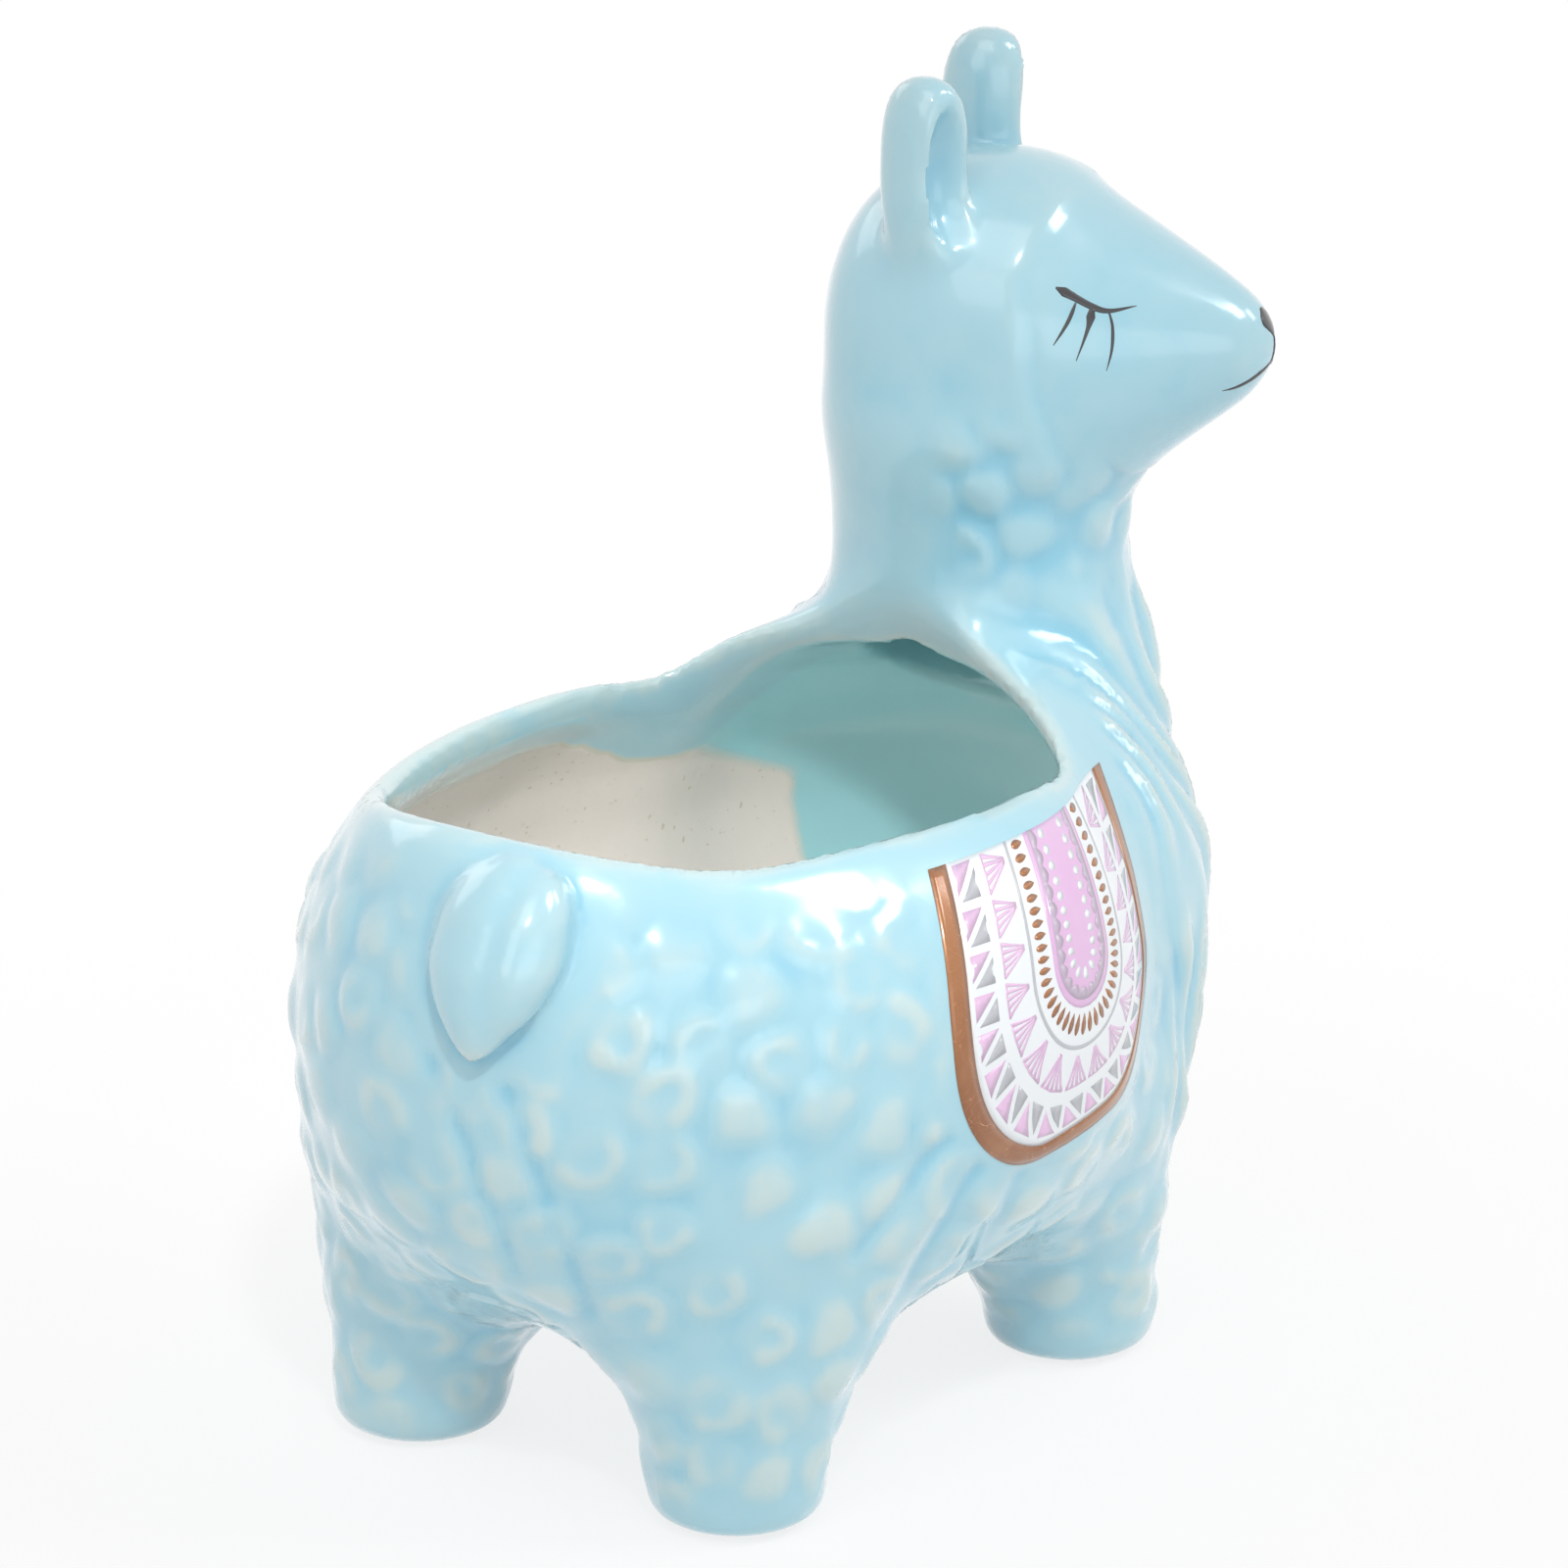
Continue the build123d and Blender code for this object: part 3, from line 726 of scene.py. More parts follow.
# %% The node tree that lays a ribbon
def build_ribbon_tree(start_off=0.09, ray_length=0.12, sink=0.00005):
    """Repeats a motif in a row, bends the row between two rings, presses it on the flank and thickens it."""
    tree = bpy.data.node_groups.new("lay a ribbon on the flank", "GeometryNodeTree")
    for title, kind in (("Geometry", "Geometry"), ("Motif", "Object"), ("Count", "Int"), ("Outer ring", "Object"),
                        ("Inner ring", "Object"), ("Pot", "Object"), ("Side", "Float"), ("Height", "Float"),
                        ("Material", "Material")):
        tree.interface.new_socket(title, in_out="INPUT", socket_type="NodeSocket" + kind)
    tree.interface.new_socket("Geometry", in_out="OUTPUT", socket_type="NodeSocketGeometry")
    given = tree.nodes.new("NodeGroupInput").outputs

    def step(kind, first, *links, **values):
        """A geometry node with its first input and any others; gives its outputs."""
        return node(tree, "GeometryNode" + kind, [(0, first), *links], **values).outputs

    def sideways(amount):
        """A vector out to the blanket's own side of the pot."""
        return node(tree, "ShaderNodeCombineXYZ", [(1, calc(tree, "MULTIPLY", given["Side"], amount))]).outputs[0]

    motif, outer, inner, pot = (step("ObjectInfo", given[title])["Geometry"]
                                for title in ("Motif", "Outer ring", "Inner ring", "Pot"))
    place = node(tree, "GeometryNodeInputPosition").outputs[0]

    # A straight row of motifs: one along for each motif, and from 0 to 1 deep.
    line = step("MeshLine", given["Count"], ("Offset", (1, 0, 0)), mode="OFFSET")[0]
    placed = step("InstanceOnPoints", line, ("Instance", motif))[0]
    row = step("MergeByDistance", step("RealizeInstances", placed)[0], ("Distance", 1e-4))[0]

    # Bent: how far along gives the number of a point on both rings, and how deep mixes the two.
    far_along, deep, _ = node(tree, "ShaderNodeSeparateXYZ", [(0, place)]).outputs
    share = calc(tree, "DIVIDE", far_along, given["Count"])
    number = calc(tree, "ROUND", calc(tree, "MULTIPLY", share, ring_steps - 1.0))
    ends = []
    for ring in (outer, inner):
        sampled = node(tree, "GeometryNodeSampleIndex", [("Geometry", ring), ("Index", number)],
                       data_type="FLOAT_VECTOR", domain="POINT")
        tree.links.new(place, next(i for i in sampled.inputs if i.name == "Value" and i.enabled))
        ends.append(next(o for o in sampled.outputs if o.enabled))
    mix = node(tree, "ShaderNodeMix", [("Factor", deep), (4, ends[0]), (5, ends[1])], data_type="VECTOR")
    bent = step("SetPosition", row, ("Position", mix.outputs[1]))[0]
    welded = step("MergeByDistance", bent, ("Distance", 1e-5))[0]

    # Pressed on: each point goes in from the side until it meets the pot, and a little further.
    begin = node(tree, "ShaderNodeVectorMath", [(0, place), (1, sideways(start_off))], operation="ADD")
    ray = step("Raycast", pot, ("Source Position", begin.outputs[0]), ("Ray Direction", sideways(-1.0)),
               ("Ray Length", ray_length))
    sunk = node(tree, "ShaderNodeVectorMath", [(0, ray["Hit Normal"]), ("Scale", -sink)], operation="SCALE")
    base = node(tree, "ShaderNodeVectorMath", [(0, ray["Hit Position"]), (1, sunk.outputs[0])], operation="ADD")
    laid = step("SetPosition", welded, ("Position", base.outputs[0]))[0]
    far_side = node(tree, "FunctionNodeCompare", [("A", given["Side"])], operation="GREATER_THAN")
    faced = step("FlipFaces", laid, ("Selection", far_side.outputs[0]))[0]

    # Thickened: the raised face and a turned copy of the first one close into a coat of colour.
    grown = step("ExtrudeMesh", faced, ("Offset Scale", calc(tree, "ADD", given["Height"], sink)),
                 ("Individual", False))
    both = node(tree, "GeometryNodeJoinGeometry")
    for half in (grown["Mesh"], step("FlipFaces", faced)[0]):
        tree.links.new(half, both.inputs[0])
    closed = step("MergeByDistance", both.outputs[0], ("Distance", 1e-6))[0]
    smooth = step("SetShadeSmooth", closed, ("Selection", grown["Top"]))[0]
    painted = step("SetMaterial", smooth, ("Material", given["Material"]))[0]
    node(tree, "NodeGroupOutput", [(0, painted)])
    return tree


ribbon_tree = build_ribbon_tree()
print("ribbon tree", len(ribbon_tree.nodes), "nodes")

# %% [markdown]
# ## Glazes
# One glaze covers the pot, so its pattern is one node group: it reads the ridge attribute, adds slow cloudy
# drift and the small runs of a dipped glaze, and puts out a colour and a height. The gloss itself, a clear
# coat over the colour, stays in each material.

# %% Helpers for glazes
def colour(*rgb):
    """A colour in 0 to 255 as on a screen, made linear for the renderer."""
    return tuple((v / 255 / 12.92) if v < 11 else ((v / 255 + 0.055) / 1.055)**2.4 for v in rgb) + (1.0,)


def shader_group(name, inputs, outputs):
    """A node group that several materials can use, with what it is given and what it puts out."""
    group = bpy.data.node_groups.new(name, "ShaderNodeTree")
    for title, kind, value in inputs:
        group.interface.new_socket(title, in_out="INPUT", socket_type="NodeSocket" + kind).default_value = value
    for title, kind in outputs:
        group.interface.new_socket(title, in_out="OUTPUT", socket_type="NodeSocket" + kind)
    return group, group.nodes.new("NodeGroupInput").outputs, group.nodes.new("NodeGroupOutput").inputs


def place_group(tree, group, **values):
    """Puts a node group into a material with its own values; gives its outputs."""
    used = tree.nodes.new("ShaderNodeGroup")
    used.node_tree = group
    for title, value in values.items():
        used.inputs[title].default_value = value
    return used.outputs


def own_place(tree):
    """Where a point lies on the object itself, so that a pattern moves with it."""
    return node(tree, "ShaderNodeTexCoord").outputs["Object"]


def measure(tree, title):
    """One of the measures that the skin keeps at its points."""
    return node(tree, "ShaderNodeAttribute", attribute_name=title).outputs["Fac"]


def noise(tree, place, scale, detail, distortion=0.0):
    """Soft clouds with values around one half."""
    return node(tree, "ShaderNodeTexNoise", [("Vector", place), ("Scale", scale), ("Detail", detail),
                                            ("Distortion", distortion)]).outputs["Fac"]


def spread(tree, value, low_end, high_end, low_value=0.0, high_value=1.0):
    """Maps a value smoothly from one span to another."""
    return node(tree, "ShaderNodeMapRange", [("Value", value), ("From Min", low_end), ("From Max", high_end),
                                            ("To Min", low_value), ("To Max", high_value)],
                interpolation_type="SMOOTHSTEP").outputs[0]


def tint(tree, factor, first, second):
    """Mixes two colours."""
    return node(tree, "ShaderNodeMix", [(0, factor), (6, first), (7, second)], data_type="RGBA").outputs[2]


def ceramic(name, roughness=0.22):
    """A glazed ceramic material: its tree, and its Principled shader with a clear coat."""
    material = bpy.data.materials.new(name)
    material.use_nodes = True
    shader = material.node_tree.nodes["Principled BSDF"]
    for title, value in (("Roughness", roughness), ("Coat Weight", 1.0), ("Coat Roughness", 0.12), ("IOR", 1.5)):
        shader.inputs[title].default_value = value
    return material, material.node_tree, shader


def relief_of(tree, shader, height, strength, distance):
    """Lets a height ripple the surface of a material."""
    bump = node(tree, "ShaderNodeBump", [("Height", height), ("Strength", strength), ("Distance", distance)])
    tree.links.new(bump.outputs[0], shader.inputs["Normal"])


# %% The shared glaze pattern
def build_glaze():
    """The dipped glaze: cream where it is thin, deeper blue where it pools and as painted shade on the neck, and a
    faint wave in its surface.
    """
    group, given, out = shader_group("dipped glaze", [
        ("Thin", "Color", colour(212, 223, 216)), ("Middle", "Color", colour(167, 212, 225)),
        ("Pool and shade", "Color", colour(136, 199, 222))], [("Color", "Color"), ("Height", "Float")])
    place = own_place(group)
    cloud = calc(group, "SUBTRACT", noise(group, place, 42.0, 2.0, 0.6), 0.5)
    fleck = calc(group, "SUBTRACT", noise(group, place, 170.0, 3.0), 0.5)
    thinness = measure(group, "ridge")
    # The last measure in this list carries painted shade: it turns the neck and the lower head a deeper blue.
    for value, strength in ((cloud, 1.5), (fleck, 0.9), (measure(group, "pooling_and_neck_shade"), 0.12)):
        thinness = calc(group, "MULTIPLY_ADD", value, strength, thinness)
    base = tint(group, spread(group, thinness, 0.15, -1.1), given["Middle"], given["Pool and shade"])
    shown = tint(group, spread(group, thinness, 0.1, 1.3, 0.0, 0.68), base, given["Thin"])
    group.links.new(shown, out["Color"])
    group.links.new(noise(group, place, 90.0, 1.0), out["Height"])
    return group


glaze_group = build_glaze()
sky_glaze, tree, shader = ceramic("sky glaze")
glaze = place_group(tree, glaze_group)
tree.links.new(glaze["Color"], shader.inputs["Base Color"])
relief_of(tree, shader, glaze["Height"], 0.25, 0.0004)
print("glaze ready,", len(glaze_group.nodes), "nodes")

# %% [markdown]
# ## The lining
# Inside, such a pot is blue only as far as the glaze ran. The back is bare, dry clay, and a pale line shows
# where the glaze thins out. One material can show both: masks made of place, noise and the distance from the lip
# say where the clay lies bare, and there the clear coat goes and the surface turns dull.

# %% The lining: glaze in the front, bare clay at the back
glaze_behind, glaze_below = (0.0670, 0.0640), (0.0790, 0.0760)  # in metres, where the clay starts to lie bare
thin_from, bare_from = (5.0, 5.9), (5.9, 6.5)  # in mm from the lip, once drifted
lining_glaze, tree, shader = ceramic("lining glaze")
place = own_place(tree)
to_front, _, level = node(tree, "ShaderNodeSeparateXYZ", [(0, place)]).outputs
drift, speck = noise(tree, place, 38.0, 4.0, 0.4), noise(tree, place, 900.0, 2.0)
edge_x = calc(tree, "MULTIPLY_ADD", level, 0.12, calc(tree, "MULTIPLY_ADD", drift, 0.022, to_front))
from_lip = calc(tree, "MULTIPLY_ADD", drift, 3.2, measure(tree, "depth"))
from_lip = calc(tree, "SUBTRACT", from_lip, spread(tree, to_front, 0.000, 0.050, 0.0, 6.0))
edge_z = calc(tree, "MULTIPLY_ADD", drift, 0.006, level)
edge_z = calc(tree, "ADD", edge_z, spread(tree, to_front, 0.012, 0.050, 0.0, 0.013))
unglazed = calc(tree, "MULTIPLY", spread(tree, edge_x, *glaze_behind), spread(tree, edge_z, *glaze_below))
bare = calc(tree, "MULTIPLY", unglazed, spread(tree, from_lip, *bare_from))
break_line = calc(tree, "MULTIPLY", spread(tree, from_lip, *thin_from), unglazed)
clay_colour = tint(tree, drift, colour(238, 230, 222), colour(243, 237, 230))
clay_colour = tint(tree, spread(tree, speck, 0.66, 0.74), clay_colour, colour(220, 208, 192))
# Painted light: below the lip, the lining glaze turns paler and brighter than the same glaze outside. This stands
# in for light falling into the pot.
glazed = tint(tree, spread(tree, from_lip, 4.4, 7.0), colour(168, 215, 227), colour(170, 228, 235))
glazed = tint(tree, break_line, glazed, colour(214, 214, 198))
for title, value in (("Base Color", tint(tree, bare, glazed, clay_colour)),
                     ("Roughness", spread(tree, bare, 0.0, 1.0, 0.22, 0.75)),
                     ("Coat Weight", spread(tree, bare, 0.0, 1.0, 1.0, 0.0))):
    tree.links.new(value, shader.inputs[title])
relief_of(tree, shader, calc(tree, "MULTIPLY", speck, bare), 0.3, 0.0003)
for skin_piece, finish in ((pot_skin, sky_glaze), (head_skin, sky_glaze), (pot_lining, lining_glaze)):
    skin_piece.data.materials.append(finish)
    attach(skin_piece, "root")
print("skin pieces dressed")

# %% [markdown]
# ## Colours of the transfer
# Transfer colours lie on the glaze as a thin coat with fine hair scratches, and the border is a bronze lustre
# that catches the light unevenly. They could be one material with many masks, but a plain material for each
# colour is easier to tune, so only the wear is shared, as one node group with each material's own values.

# %% Colours of the transfer
def build_wear():
    """Fine hair scratches and an uneven coat, as on a fired transfer."""
    group, given, out = shader_group("worn coat", [
        ("Color", "Color", (1, 1, 1, 1)), ("Under", "Color", (1, 1, 1, 1)), ("Scratches", "Float", 0.5)],
        [("Color", "Color"), ("Mask", "Float")])
    place = own_place(group)
    from_hair = calc(group, "ABSOLUTE", calc(group, "SUBTRACT", noise(group, place, 260.0, 1.0, 2.5), 0.5))
    scratch = calc(group, "MULTIPLY", spread(group, from_hair, 0.006, 0.0), given["Scratches"])
    cloud = spread(group, noise(group, place, 160.0, 3.0), 0.35, 0.75, 0.0, 0.22)
    faded = tint(group, cloud, given["Color"], given["Under"])
    group.links.new(tint(group, scratch, faded, given["Under"]), out["Color"])
    group.links.new(scratch, out["Mask"])
    return group


wear_group = build_wear()


def transfer(name, rgb, under, scratches, roughness=0.3, metallic=0.0, strength=0.15, lit=None):
    """A fired colour over the glaze, worn a little; a lustre also drifts towards a lit colour."""
    material, tree, shader = ceramic(name, roughness)
    coat = place_group(tree, wear_group, Color=colour(*rgb), Under=colour(*under), Scratches=scratches)
    shown = coat["Color"]
    if lit:
        sheen = spread(tree, noise(tree, own_place(tree), 55.0, 1.0), 0.35, 0.7, 0.0, 0.55)
        shown = tint(tree, sheen, shown, colour(*lit))
    tree.links.new(shown, shader.inputs["Base Color"])
    relief_of(tree, shader, coat["Mask"], strength, 0.00005)
    shader.inputs["Metallic"].default_value = metallic
    return material


chalk_white = transfer("chalk white transfer", (236, 240, 243), (226, 234, 240), 0.2)
rose_pink = transfer("rose pink transfer", (226, 186, 222), (236, 214, 234), 0.35)
stone_grey = transfer("stone grey transfer", (184, 186, 192), (206, 208, 212), 0.3)
grey_wash = transfer("grey wash transfer", (190, 172, 194), (214, 188, 214), 0.3)
orchid_pink = transfer("orchid pink transfer", (221, 178, 219), (230, 200, 230), 0.25)
black_enamel = transfer("black enamel", (22, 20, 26), (60, 54, 66), 0.15, roughness=0.35)
bronze_lustre = transfer("bronze lustre", (146, 86, 36), (205, 152, 106), 0.9, 0.30, 0.25, 0.2, (176, 116, 66))
print("transfer colours ready")

# %% [markdown]
# ## Motifs and ribbons
# Each ring of the blanket repeats one small shape: a tooth, a fan, a drop or a dot. The shapes are drawn as flat
# outlines in a cell one wide and one deep, with no more faces than they need to bend, and the node tree lays
# them side by side along the ring.

# %% Motifs, drawn flat in a cell one wide and one deep
def mesh_from(name, bm):
    """A mesh from a bmesh, which is then given up."""
    mesh = bpy.data.meshes.new(name)
    bm.to_mesh(mesh)
    bm.free()
    return mesh


def flat_motif(name, outlines):
    """A flat mesh object from outlines, each a list of (along, deep) corners."""
    bm = bmesh.new()
    for outline in outlines:
        bm.faces.new([bm.verts.new((a, b, 0)) for a, b in outline])
    bmesh.ops.recalc_face_normals(bm, faces=bm.faces)
    if bm.faces[:] and bm.faces[0].normal.z < 0:
        bmesh.ops.reverse_faces(bm, faces=bm.faces)
    return add_object(name, mesh_from(name, bm))


def sheet_motif(name, deep):
    """A plain piece of ribbon, one cell long, in a number of steps from its outer to its inner edge."""
    return flat_motif(name, [[(0, k / deep), (1, k / deep), (1, (k + 1) / deep), (0, (k + 1) / deep)]
                             for k in range(deep)])


def sliced(corners, slices=4):
    """A triangle cut into level slices, so that it can bend with the flank."""
    pieces = []
    a, b, c = [np.array(p, float) for p in corners]
    for k in range(slices):
        s0, s1 = k / slices, (k + 1) / slices
        outline = [a + (c - a) * s0, b + (c - b) * s0, b + (c - b) * s1, a + (c - a) * s1]
        pieces.append([tuple(p) for p in (outline if k < slices - 1 else outline[:2] + [c])])
    return pieces


def oval(cx, cy, rx, ry, point=0.0, count=12):
    """An oval, or a drop when point is more than zero."""
    turns = [math.tau * k / count for k in range(count)]
    return [(cx + rx * math.cos(t) * (1 - point * max(-math.sin(t), 0)**1.5), cy - ry * math.sin(t))
            for t in turns]


def fan(strokes=5, slices=5):
    """Strokes that spread from a point at the inner edge to a base at the outer edge."""
    outlines = []
    for k in range(strokes):
        at_base = 0.10 + 0.80 * k / (strokes - 1)
        place = [(0.04 + 0.90 * s / slices,
                  0.34 + (at_base - 0.34) * (1 - s / slices) + 0.022 * (k - 2) * s / slices,
                  0.055 - 0.03 * s / slices) for s in range(slices + 1)]
        for (d0, c0, w0), (d1, c1, w1) in zip(place, place[1:]):
            outlines.append([(c0 - w0, d0), (c0 + w0, d0), (c1 + w1, d1), (c1 - w1, d1)])
    return outlines + [[(left, 0.0), (right, 0.0), (right, 0.07), (left, 0.07)]
                       for left, right in ((0.06, 0.5), (0.5, 0.94))]


bow = [(k / 8, 0.56 + 0.40 * math.sin(math.pi * k / 8)) for k in range(9)]
motifs = {
    "narrow": sheet_motif("narrow", 3), "wide": sheet_motif("wide", 16), "ground": sheet_motif("ground", 28),
    "tooth_out": flat_motif("tooth_out", sliced([(0.08, 0.02), (0.74, 0.02), (0.08, 0.90)])),
    "tooth_in": flat_motif("tooth_in", sliced([(0.88, 0.98), (0.24, 0.98), (0.88, 0.12)])),
    "fan": flat_motif("fan", fan()), "drop": flat_motif("drop", [oval(0.5, 0.5, 0.33, 0.46, 0.75)]),
    "dot": flat_motif("dot", [oval(0.5, 0.5, 0.31, 0.40)]),
    "bow": flat_motif("bow", [[bow[k], bow[k + 1], (bow[k + 1][0], 0.02), (bow[k][0], 0.02)][::-1]
                              for k in range(8)])}
print("motifs", sorted(motifs))

# %% Lay every ribbon on both flanks
ribbons = [  # name, motif, how many, outer ring, inner ring, height in mm, colour, slot, CAD node it stands for
    ("border", "narrow", 110, "border_outer", "border_inner", 0.10, bronze_lustre, "lustre_border", "border"),
    ("white", "ground", 100, "border_inner", "middle", 0.07, chalk_white, "pink_ground", "ground"),
    ("tooth_pink", "tooth_out", 20, "teeth_outer", "teeth_inner", 0.10, rose_pink, "pink_ground", None),
    ("tooth_grey", "tooth_in", 20, "teeth_outer", "teeth_inner", 0.10, stone_grey, "grey_line", None),
    ("fans", "fan", 16, "hatch_outer", "hatch_inner", 0.10, rose_pink, "pink_ground", None),
    ("line", "narrow", 90, "line_outer", "line_inner", 0.10, stone_grey, "grey_line", "line"),
    ("drops", "drop", 41, "drops_outer", "drops_inner", 0.11, bronze_lustre, "lustre_border", None),
    ("field", "wide", 70, "field_outer", "middle", 0.10, orchid_pink, "orchid_field", "field"),
    ("scallop", "bow", 24, "scallop_outer", "scallop_inner", 0.13, grey_wash, "grey_line", None),
    ("dots", "dot", 23, "dots_outer", "dots_inner", 0.13, chalk_white, "pink_ground", None)]


def lay_ribbon(name, motif, count, outer, inner, side, height, finish):
    """One finished ribbon as a plain mesh: what the node tree makes, with its modifier and rings taken away."""
    guides = pair_of_guides(name, ring_sizes[outer], ring_sizes[inner])
    ribbon = add_object(name, bpy.data.meshes.new(name))
    modifier = ribbon.modifiers.new("ribbon", "NODES")
    modifier.node_group = ribbon_tree
    given = {"Motif": motifs[motif], "Count": count, "Outer ring": guides[0], "Inner ring": guides[1],
             "Pot": pot_skin, "Side": side, "Height": height * MM, "Material": finish}
    for socket in ribbon_tree.interface.items_tree:
        if socket.in_out == "INPUT" and socket.name in given:
            modifier[socket.identifier] = given[socket.name]
    seen = ribbon.evaluated_get(bpy.context.evaluated_depsgraph_get())
    mesh = bpy.data.meshes.new_from_object(seen)
    ribbon.modifiers.remove(modifier)
    ribbon.data = mesh
    for ring in guides:
        bpy.data.objects.remove(ring)
    return ribbon


for side_name, side in (("right", -1.0), ("left", 1.0)):
    for name, motif, count, outer, inner, height, finish, slot_name, stands_for in ribbons:
        piece = lay_ribbon(f"{side_name}_{name}", motif, count, outer, inner, side, height, finish)
        if stands_for:
            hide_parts(f"blanket_{side_name}_{stands_for}")
        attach(piece, "root")
    ground = bpy.data.objects[f"{side_name}_white"].data
    print(side_name, "blanket laid,", len(ground.polygons), "faces of white ground")
for helper in motifs.values():
    bpy.data.objects.remove(helper)

# %% [markdown]
# ## The sleeping face
# Eyes, nose and mouth are drawn in black enamel with a brush, so each line swells and thins. A line is a row of
# points pressed onto the skin, with a lens-shaped section that grows and shrinks along it.

# %% Brush strokes on the skin
def from_head(s, side, height):
    """A point given along the head, to its right, and by height, in the pot's own place."""
    forward_axis = np.array((math.cos(head_turn), math.sin(head_turn), 0))
    right_axis = np.array((math.sin(head_turn), -math.cos(head_turn), 0))
    return np.array((neck_axis, 0, height)) + forward_axis * s + right_axis * side


def settle(places):
    """Moves points along the field's slope until they lie on the skin."""
    places = np.array(places, float)
    for _ in range(6):
        places -= slope_at(clay, places) * read(clay, places)[:, None]
    return places


def through(points_given, count):
    """A smooth open curve through a few points."""
    p = np.array(points_given, float)
    p = np.vstack((2 * p[0] - p[1], p, 2 * p[-1] - p[-2]))
    t = np.linspace(0, len(p) - 3 - 1e-6, count)
    i, share = t.astype(int), (t - t.astype(int))[:, None]
    return between(p[i], p[i + 1], p[i + 2], p[i + 3], share)


def stroke(bm, path, widths, proud=0.11, around=10):
    """Adds one brush stroke: a closed lens along a path on the skin, its widths read evenly along it."""
    path = settle(path)
    up = slope_at(clay, path)
    along_path = np.gradient(path, axis=0)
    side = unit(np.cross(along_path, up))
    wide = np.interp(np.linspace(0, 1, len(path)), np.linspace(0, 1, len(widths)), widths) / 2
    rounds = []
    for k in range(around):
        turn = math.tau * k / around
        flat = settle(path + side * (math.cos(turn) * wide)[:, None])
        tall = np.where(math.sin(turn) > 0, proud, 0.08) * np.minimum(wide / 0.2, 1) * math.sin(turn)
        rounds.append(flat + up * tall[:, None])
    grid = [[bm.verts.new((rounds[k][i] + to_row_frame) * MM) for k in range(around)] for i in range(len(path))]
    for first, second in zip(grid, grid[1:]):
        for k in range(around):
            bm.faces.new((first[k], first[(k + 1) % around], second[(k + 1) % around], second[k]))
    bm.faces.new(grid[0][::-1])
    bm.faces.new(grid[-1])


def enamel_piece(name, strokes, *nodes):
    """A black enamel object from several strokes, standing for CAD nodes."""
    bm = bmesh.new()
    for path, widths in strokes:
        stroke(bm, path, widths)
    bmesh.ops.recalc_face_normals(bm, faces=bm.faces)
    mesh = mesh_from(name, bm)
    mesh.polygons.foreach_set("use_smooth", [True] * len(mesh.polygons))
    mesh.materials.append(black_enamel)
    piece = add_object(name, mesh)
    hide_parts(*nodes)
    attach(piece, "root")
    print(name, len(strokes), "strokes,", len(mesh.polygons), "faces")


def head_line(places, count):
    """A smooth line through places given along the head, to its right and by height."""
    return through([from_head(*place) for place in places], count)


# %% Eyes, mouth and nose
eye_lines = [  # places of each line, then its widths in mm
    ([(13.5, 15.2, 135.1), (15.1, 14.7, 134.2), (17.8, 13.8, 132.6), (19.7, 12.9, 132.0), (22.6, 11.0, 132.4)],
     (0.25, 1.25, 0.95, 0.85, 0.7, 0.45, 0.1)),
    ([(15.9, 14.7, 133.2), (15.1, 15.6, 130.9), (13.7, 17.0, 128.2)], (0.25, 0.5, 0.5, 0.35, 0.1)),
    ([(17.8, 14.0, 132.4), (17.5, 14.8, 130.2), (16.4, 16.2, 126.2)], (0.7, 1.15, 0.55, 0.3, 0.1)),
    ([(19.6, 13.0, 132.0), (20.2, 13.4, 130.1), (20.3, 14.0, 127.4), (19.8, 14.5, 124.8)],
     (0.25, 0.35, 0.45, 0.3, 0.08))]
for side_name, hand in (("right", 1), ("left", -1)):
    lines = [(head_line([(s, side * hand, height) for s, side, height in line], 26), widths)
             for line, widths in eye_lines]
    enamel_piece(f"{side_name}_eye", lines, f"eye_{side_name}")
mouth = [(head_line(((38.0, 0, 127.4), (37.7, 0, 125.4), (37.0, 0.2, 123.6)), 16), (0.3, 0.75, 0.7))]
for hand in (1, -1):
    lip_line = ((37.2, 0.1, 123.9), (36.2, 3.0 * hand, 122.2), (34.4, 5.4 * hand, 120.9),
                (32.8, 6.6 * hand, 120.6))
    mouth.append((head_line(lip_line, 22), (0.5, 0.75, 0.6, 0.35, 0.1)))
enamel_piece("mouth_strokes", mouth, "mouth_line")
nose = [(head_line(((37.4, 0, 131.6), (38.2, 0, 129.6), (38.4, 0, 127.2)), 14), (0.8, 3.4, 3.9, 2.4, 0.5))]
enamel_piece("nose_spot", nose, "nose_patch")

# %% [markdown]
# ## Floor, light and camera
# The photograph is a packshot: white all round, with a large soft light from the right front. The floor is a
# white sheet that catches a soft shadow and turns into plain white further out. What the camera sees as white is
# only the sheet's and the world's own colour, so the lamps stay at a level where the glaze looks as it is.

# %% Floor
def shows_background(tree):
    """1 for the rays that show the background itself: from the camera, by a mirror image or through glass."""
    path = node(tree, "ShaderNodeLightPath").outputs
    shown = calc(tree, "ADD", path["Is Camera Ray"], path["Is Glossy Ray"], use_clamp=True)
    return calc(tree, "ADD", shown, path["Is Transmission Ray"], use_clamp=True)


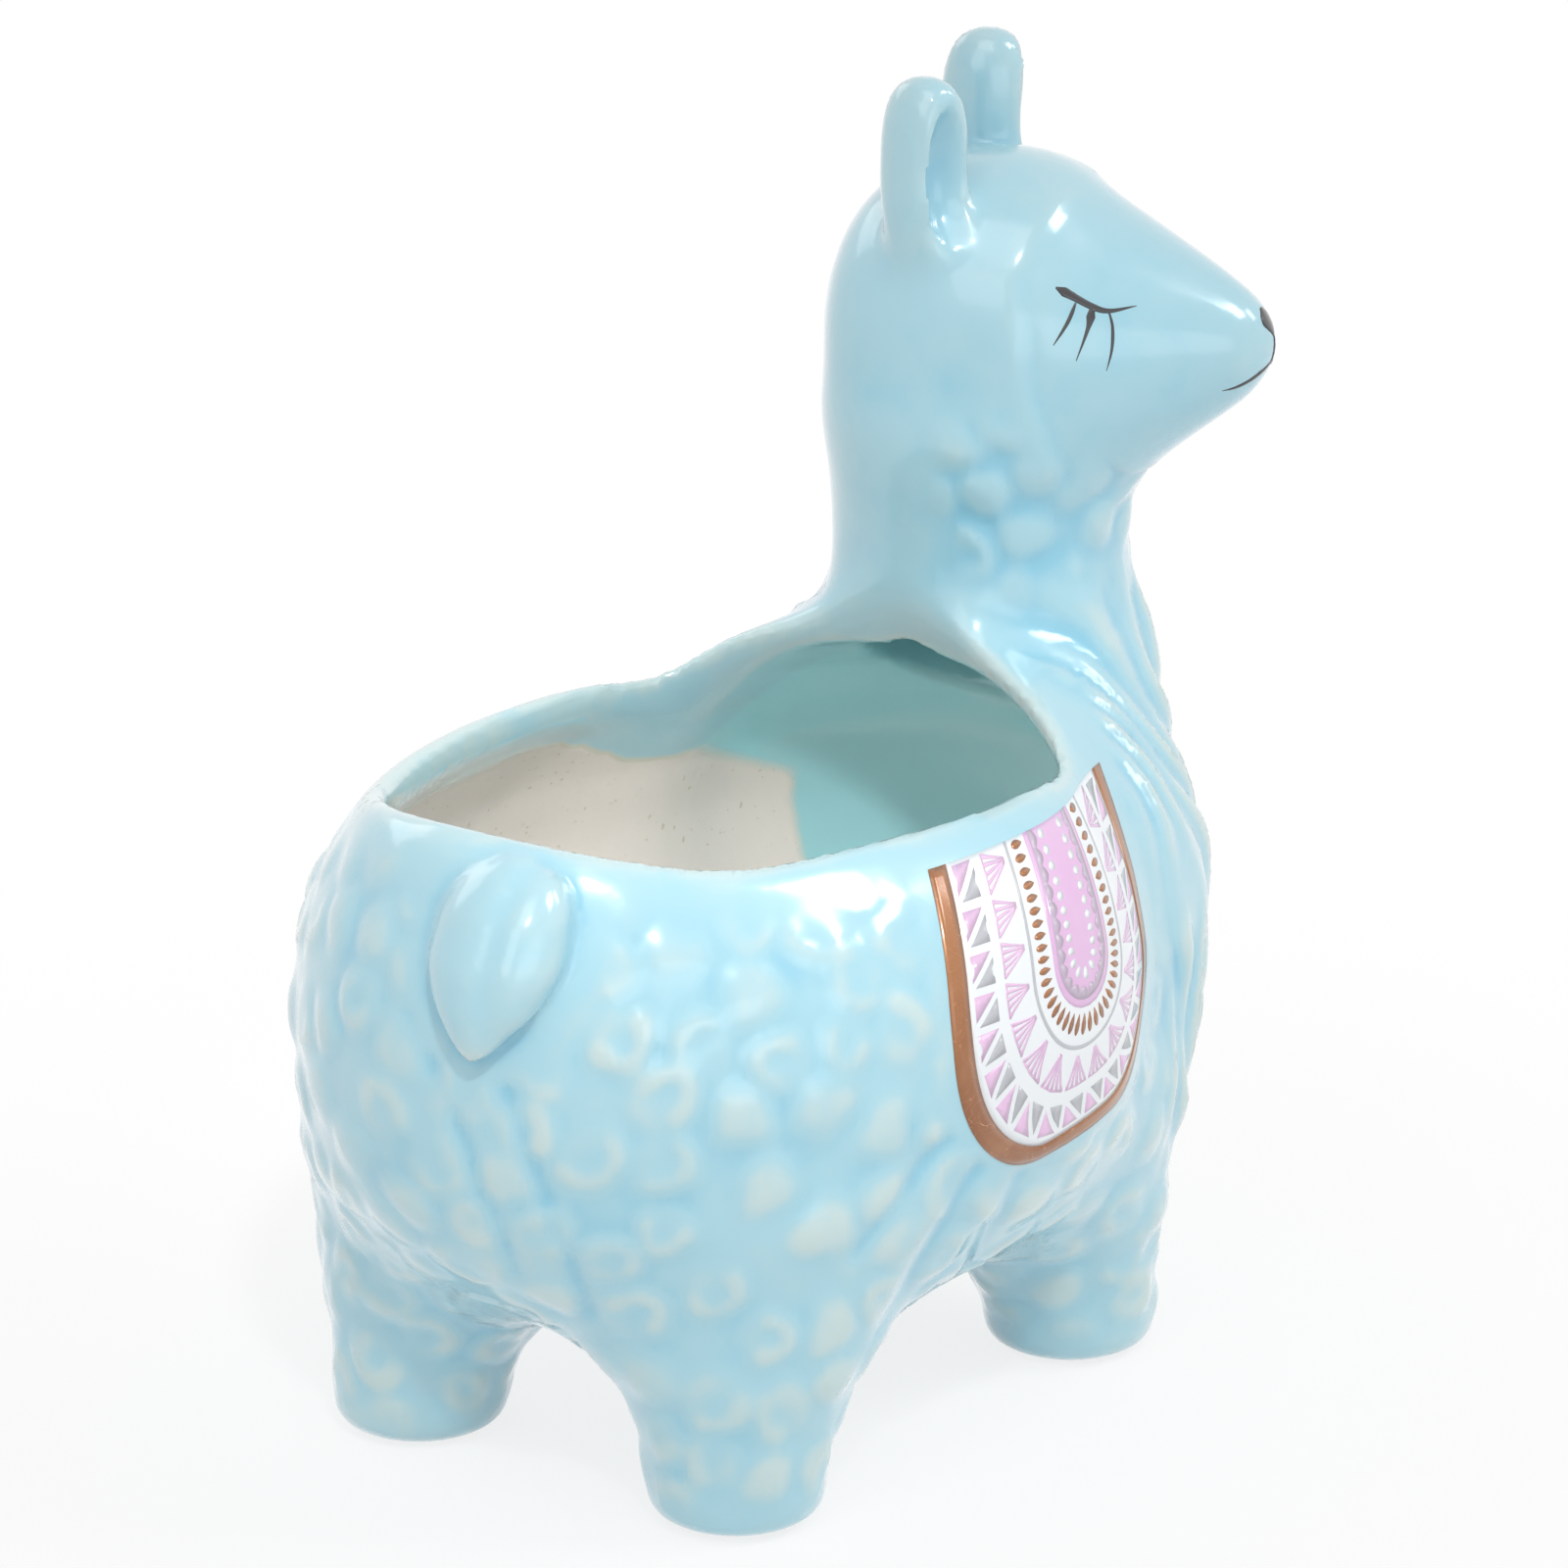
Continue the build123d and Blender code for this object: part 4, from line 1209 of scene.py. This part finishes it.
floor_radius, floor_level, floor_corners = 2.5, -0.0002, 96
bm = bmesh.new()
turns = [math.tau * k / floor_corners for k in range(floor_corners)]
bm.faces.new([bm.verts.new((floor_radius * math.cos(t), floor_radius * math.sin(t), floor_level)) for t in turns])
floor = add_object("floor", mesh_from("floor", bm))
paper = bpy.data.materials.new("white paper")
paper.use_nodes = True
tree = paper.node_tree
tree.nodes.clear()
away = node(tree, "ShaderNodeVectorMath", [(0, own_place(tree))], operation="LENGTH").outputs["Value"]
glow = calc(tree, "MULTIPLY", shows_background(tree), spread(tree, away, 0.05, 0.22, 0.80, 1.0))
sheet = node(tree, "ShaderNodeBsdfDiffuse", [("Color", (0.97, 0.97, 0.97, 1))])
white = node(tree, "ShaderNodeEmission", [("Color", (1, 1, 1, 1)), ("Strength", 1.0)])
mixed = node(tree, "ShaderNodeMixShader", [(0, glow), (1, sheet.outputs[0]), (2, white.outputs[0])])
node(tree, "ShaderNodeOutputMaterial", [(0, mixed.outputs[0])])
floor.data.materials.append(paper)
print("floor", 2 * floor_radius, "m across")

# %% World and lamps
world_level = 0.53
world = bpy.data.worlds.new("studio")
bpy.context.scene.world = world
world.use_nodes = True
background = world.node_tree.nodes["Background"]
background.inputs["Color"].default_value = (1, 1, 1, 1)
strength = spread(world.node_tree, shows_background(world.node_tree), 0.0, 1.0, world_level, 1.0)
world.node_tree.links.new(strength, background.inputs["Strength"])


def aimed(name, data, middle, direction, distance):
    """Adds a lamp or a camera that looks at a middle from a direction, some way off."""
    added = add_object(name, data)
    toward = Vector(direction).normalized()
    added.location = Vector(middle) + toward * distance
    added.rotation_mode = "QUATERNION"
    added.rotation_quaternion = toward.to_track_quat("Z", "Y")
    return added


def softbox(name, direction, distance, size, watts):
    """A rectangular area lamp that looks at the pot from a direction."""
    lamp = aimed(name, bpy.data.lights.new(name, "AREA"), (0, 0, 0.08), direction, distance)
    lamp.data.shape, lamp.data.energy = "RECTANGLE", watts
    lamp.data.size, lamp.data.size_y = size


softbox("key softbox", (0.33, -0.64, 0.67), 0.9, (0.26, 0.20), 1.5)
softbox("small window", (0.62, -0.55, 0.50), 1.0, (0.14, 0.20), 0.5)
softbox("overhead", (-0.45, -0.22, 0.80), 0.9, (0.5, 0.5), 1.0)
softbox("low fill", (-0.45, -0.85, 0.12), 1.1, (0.7, 0.4), 0.8)
softbox("fill from the tail", (-0.85, -0.15, 0.45), 1.2, (0.6, 0.5), 1.0)
opening_middle, spot_direction, spot_distance = (-0.006, 0.012, 0.07), (-0.50, -0.50, 0.72), 0.9
spot_lamp = bpy.data.lights.new("spot over the opening", "SPOT")
spot_lamp.energy, spot_lamp.spot_size, spot_lamp.spot_blend = 19.0, math.radians(10.5), 1.0
spot_lamp.shadow_soft_size = 0.05
aimed("spot over the opening", spot_lamp, opening_middle, spot_direction, spot_distance)
softbox("far side fill", (0.1, 0.85, 0.5), 1.2, (0.7, 0.5), 1.1)
print("lamps", sorted(lamp.name for lamp in bpy.data.lights))

# %% Camera
camera = aimed("camera", bpy.data.cameras.new("camera"), (view_middle + to_row_frame) * MM, toward_camera,
               view_distance * MM)
camera.data.sensor_width, camera.data.lens = 36, 187.4
bpy.context.scene.camera = camera
bpy.context.scene.view_settings.view_transform = "Standard"
print("camera at", [round(v, 4) for v in camera.location])
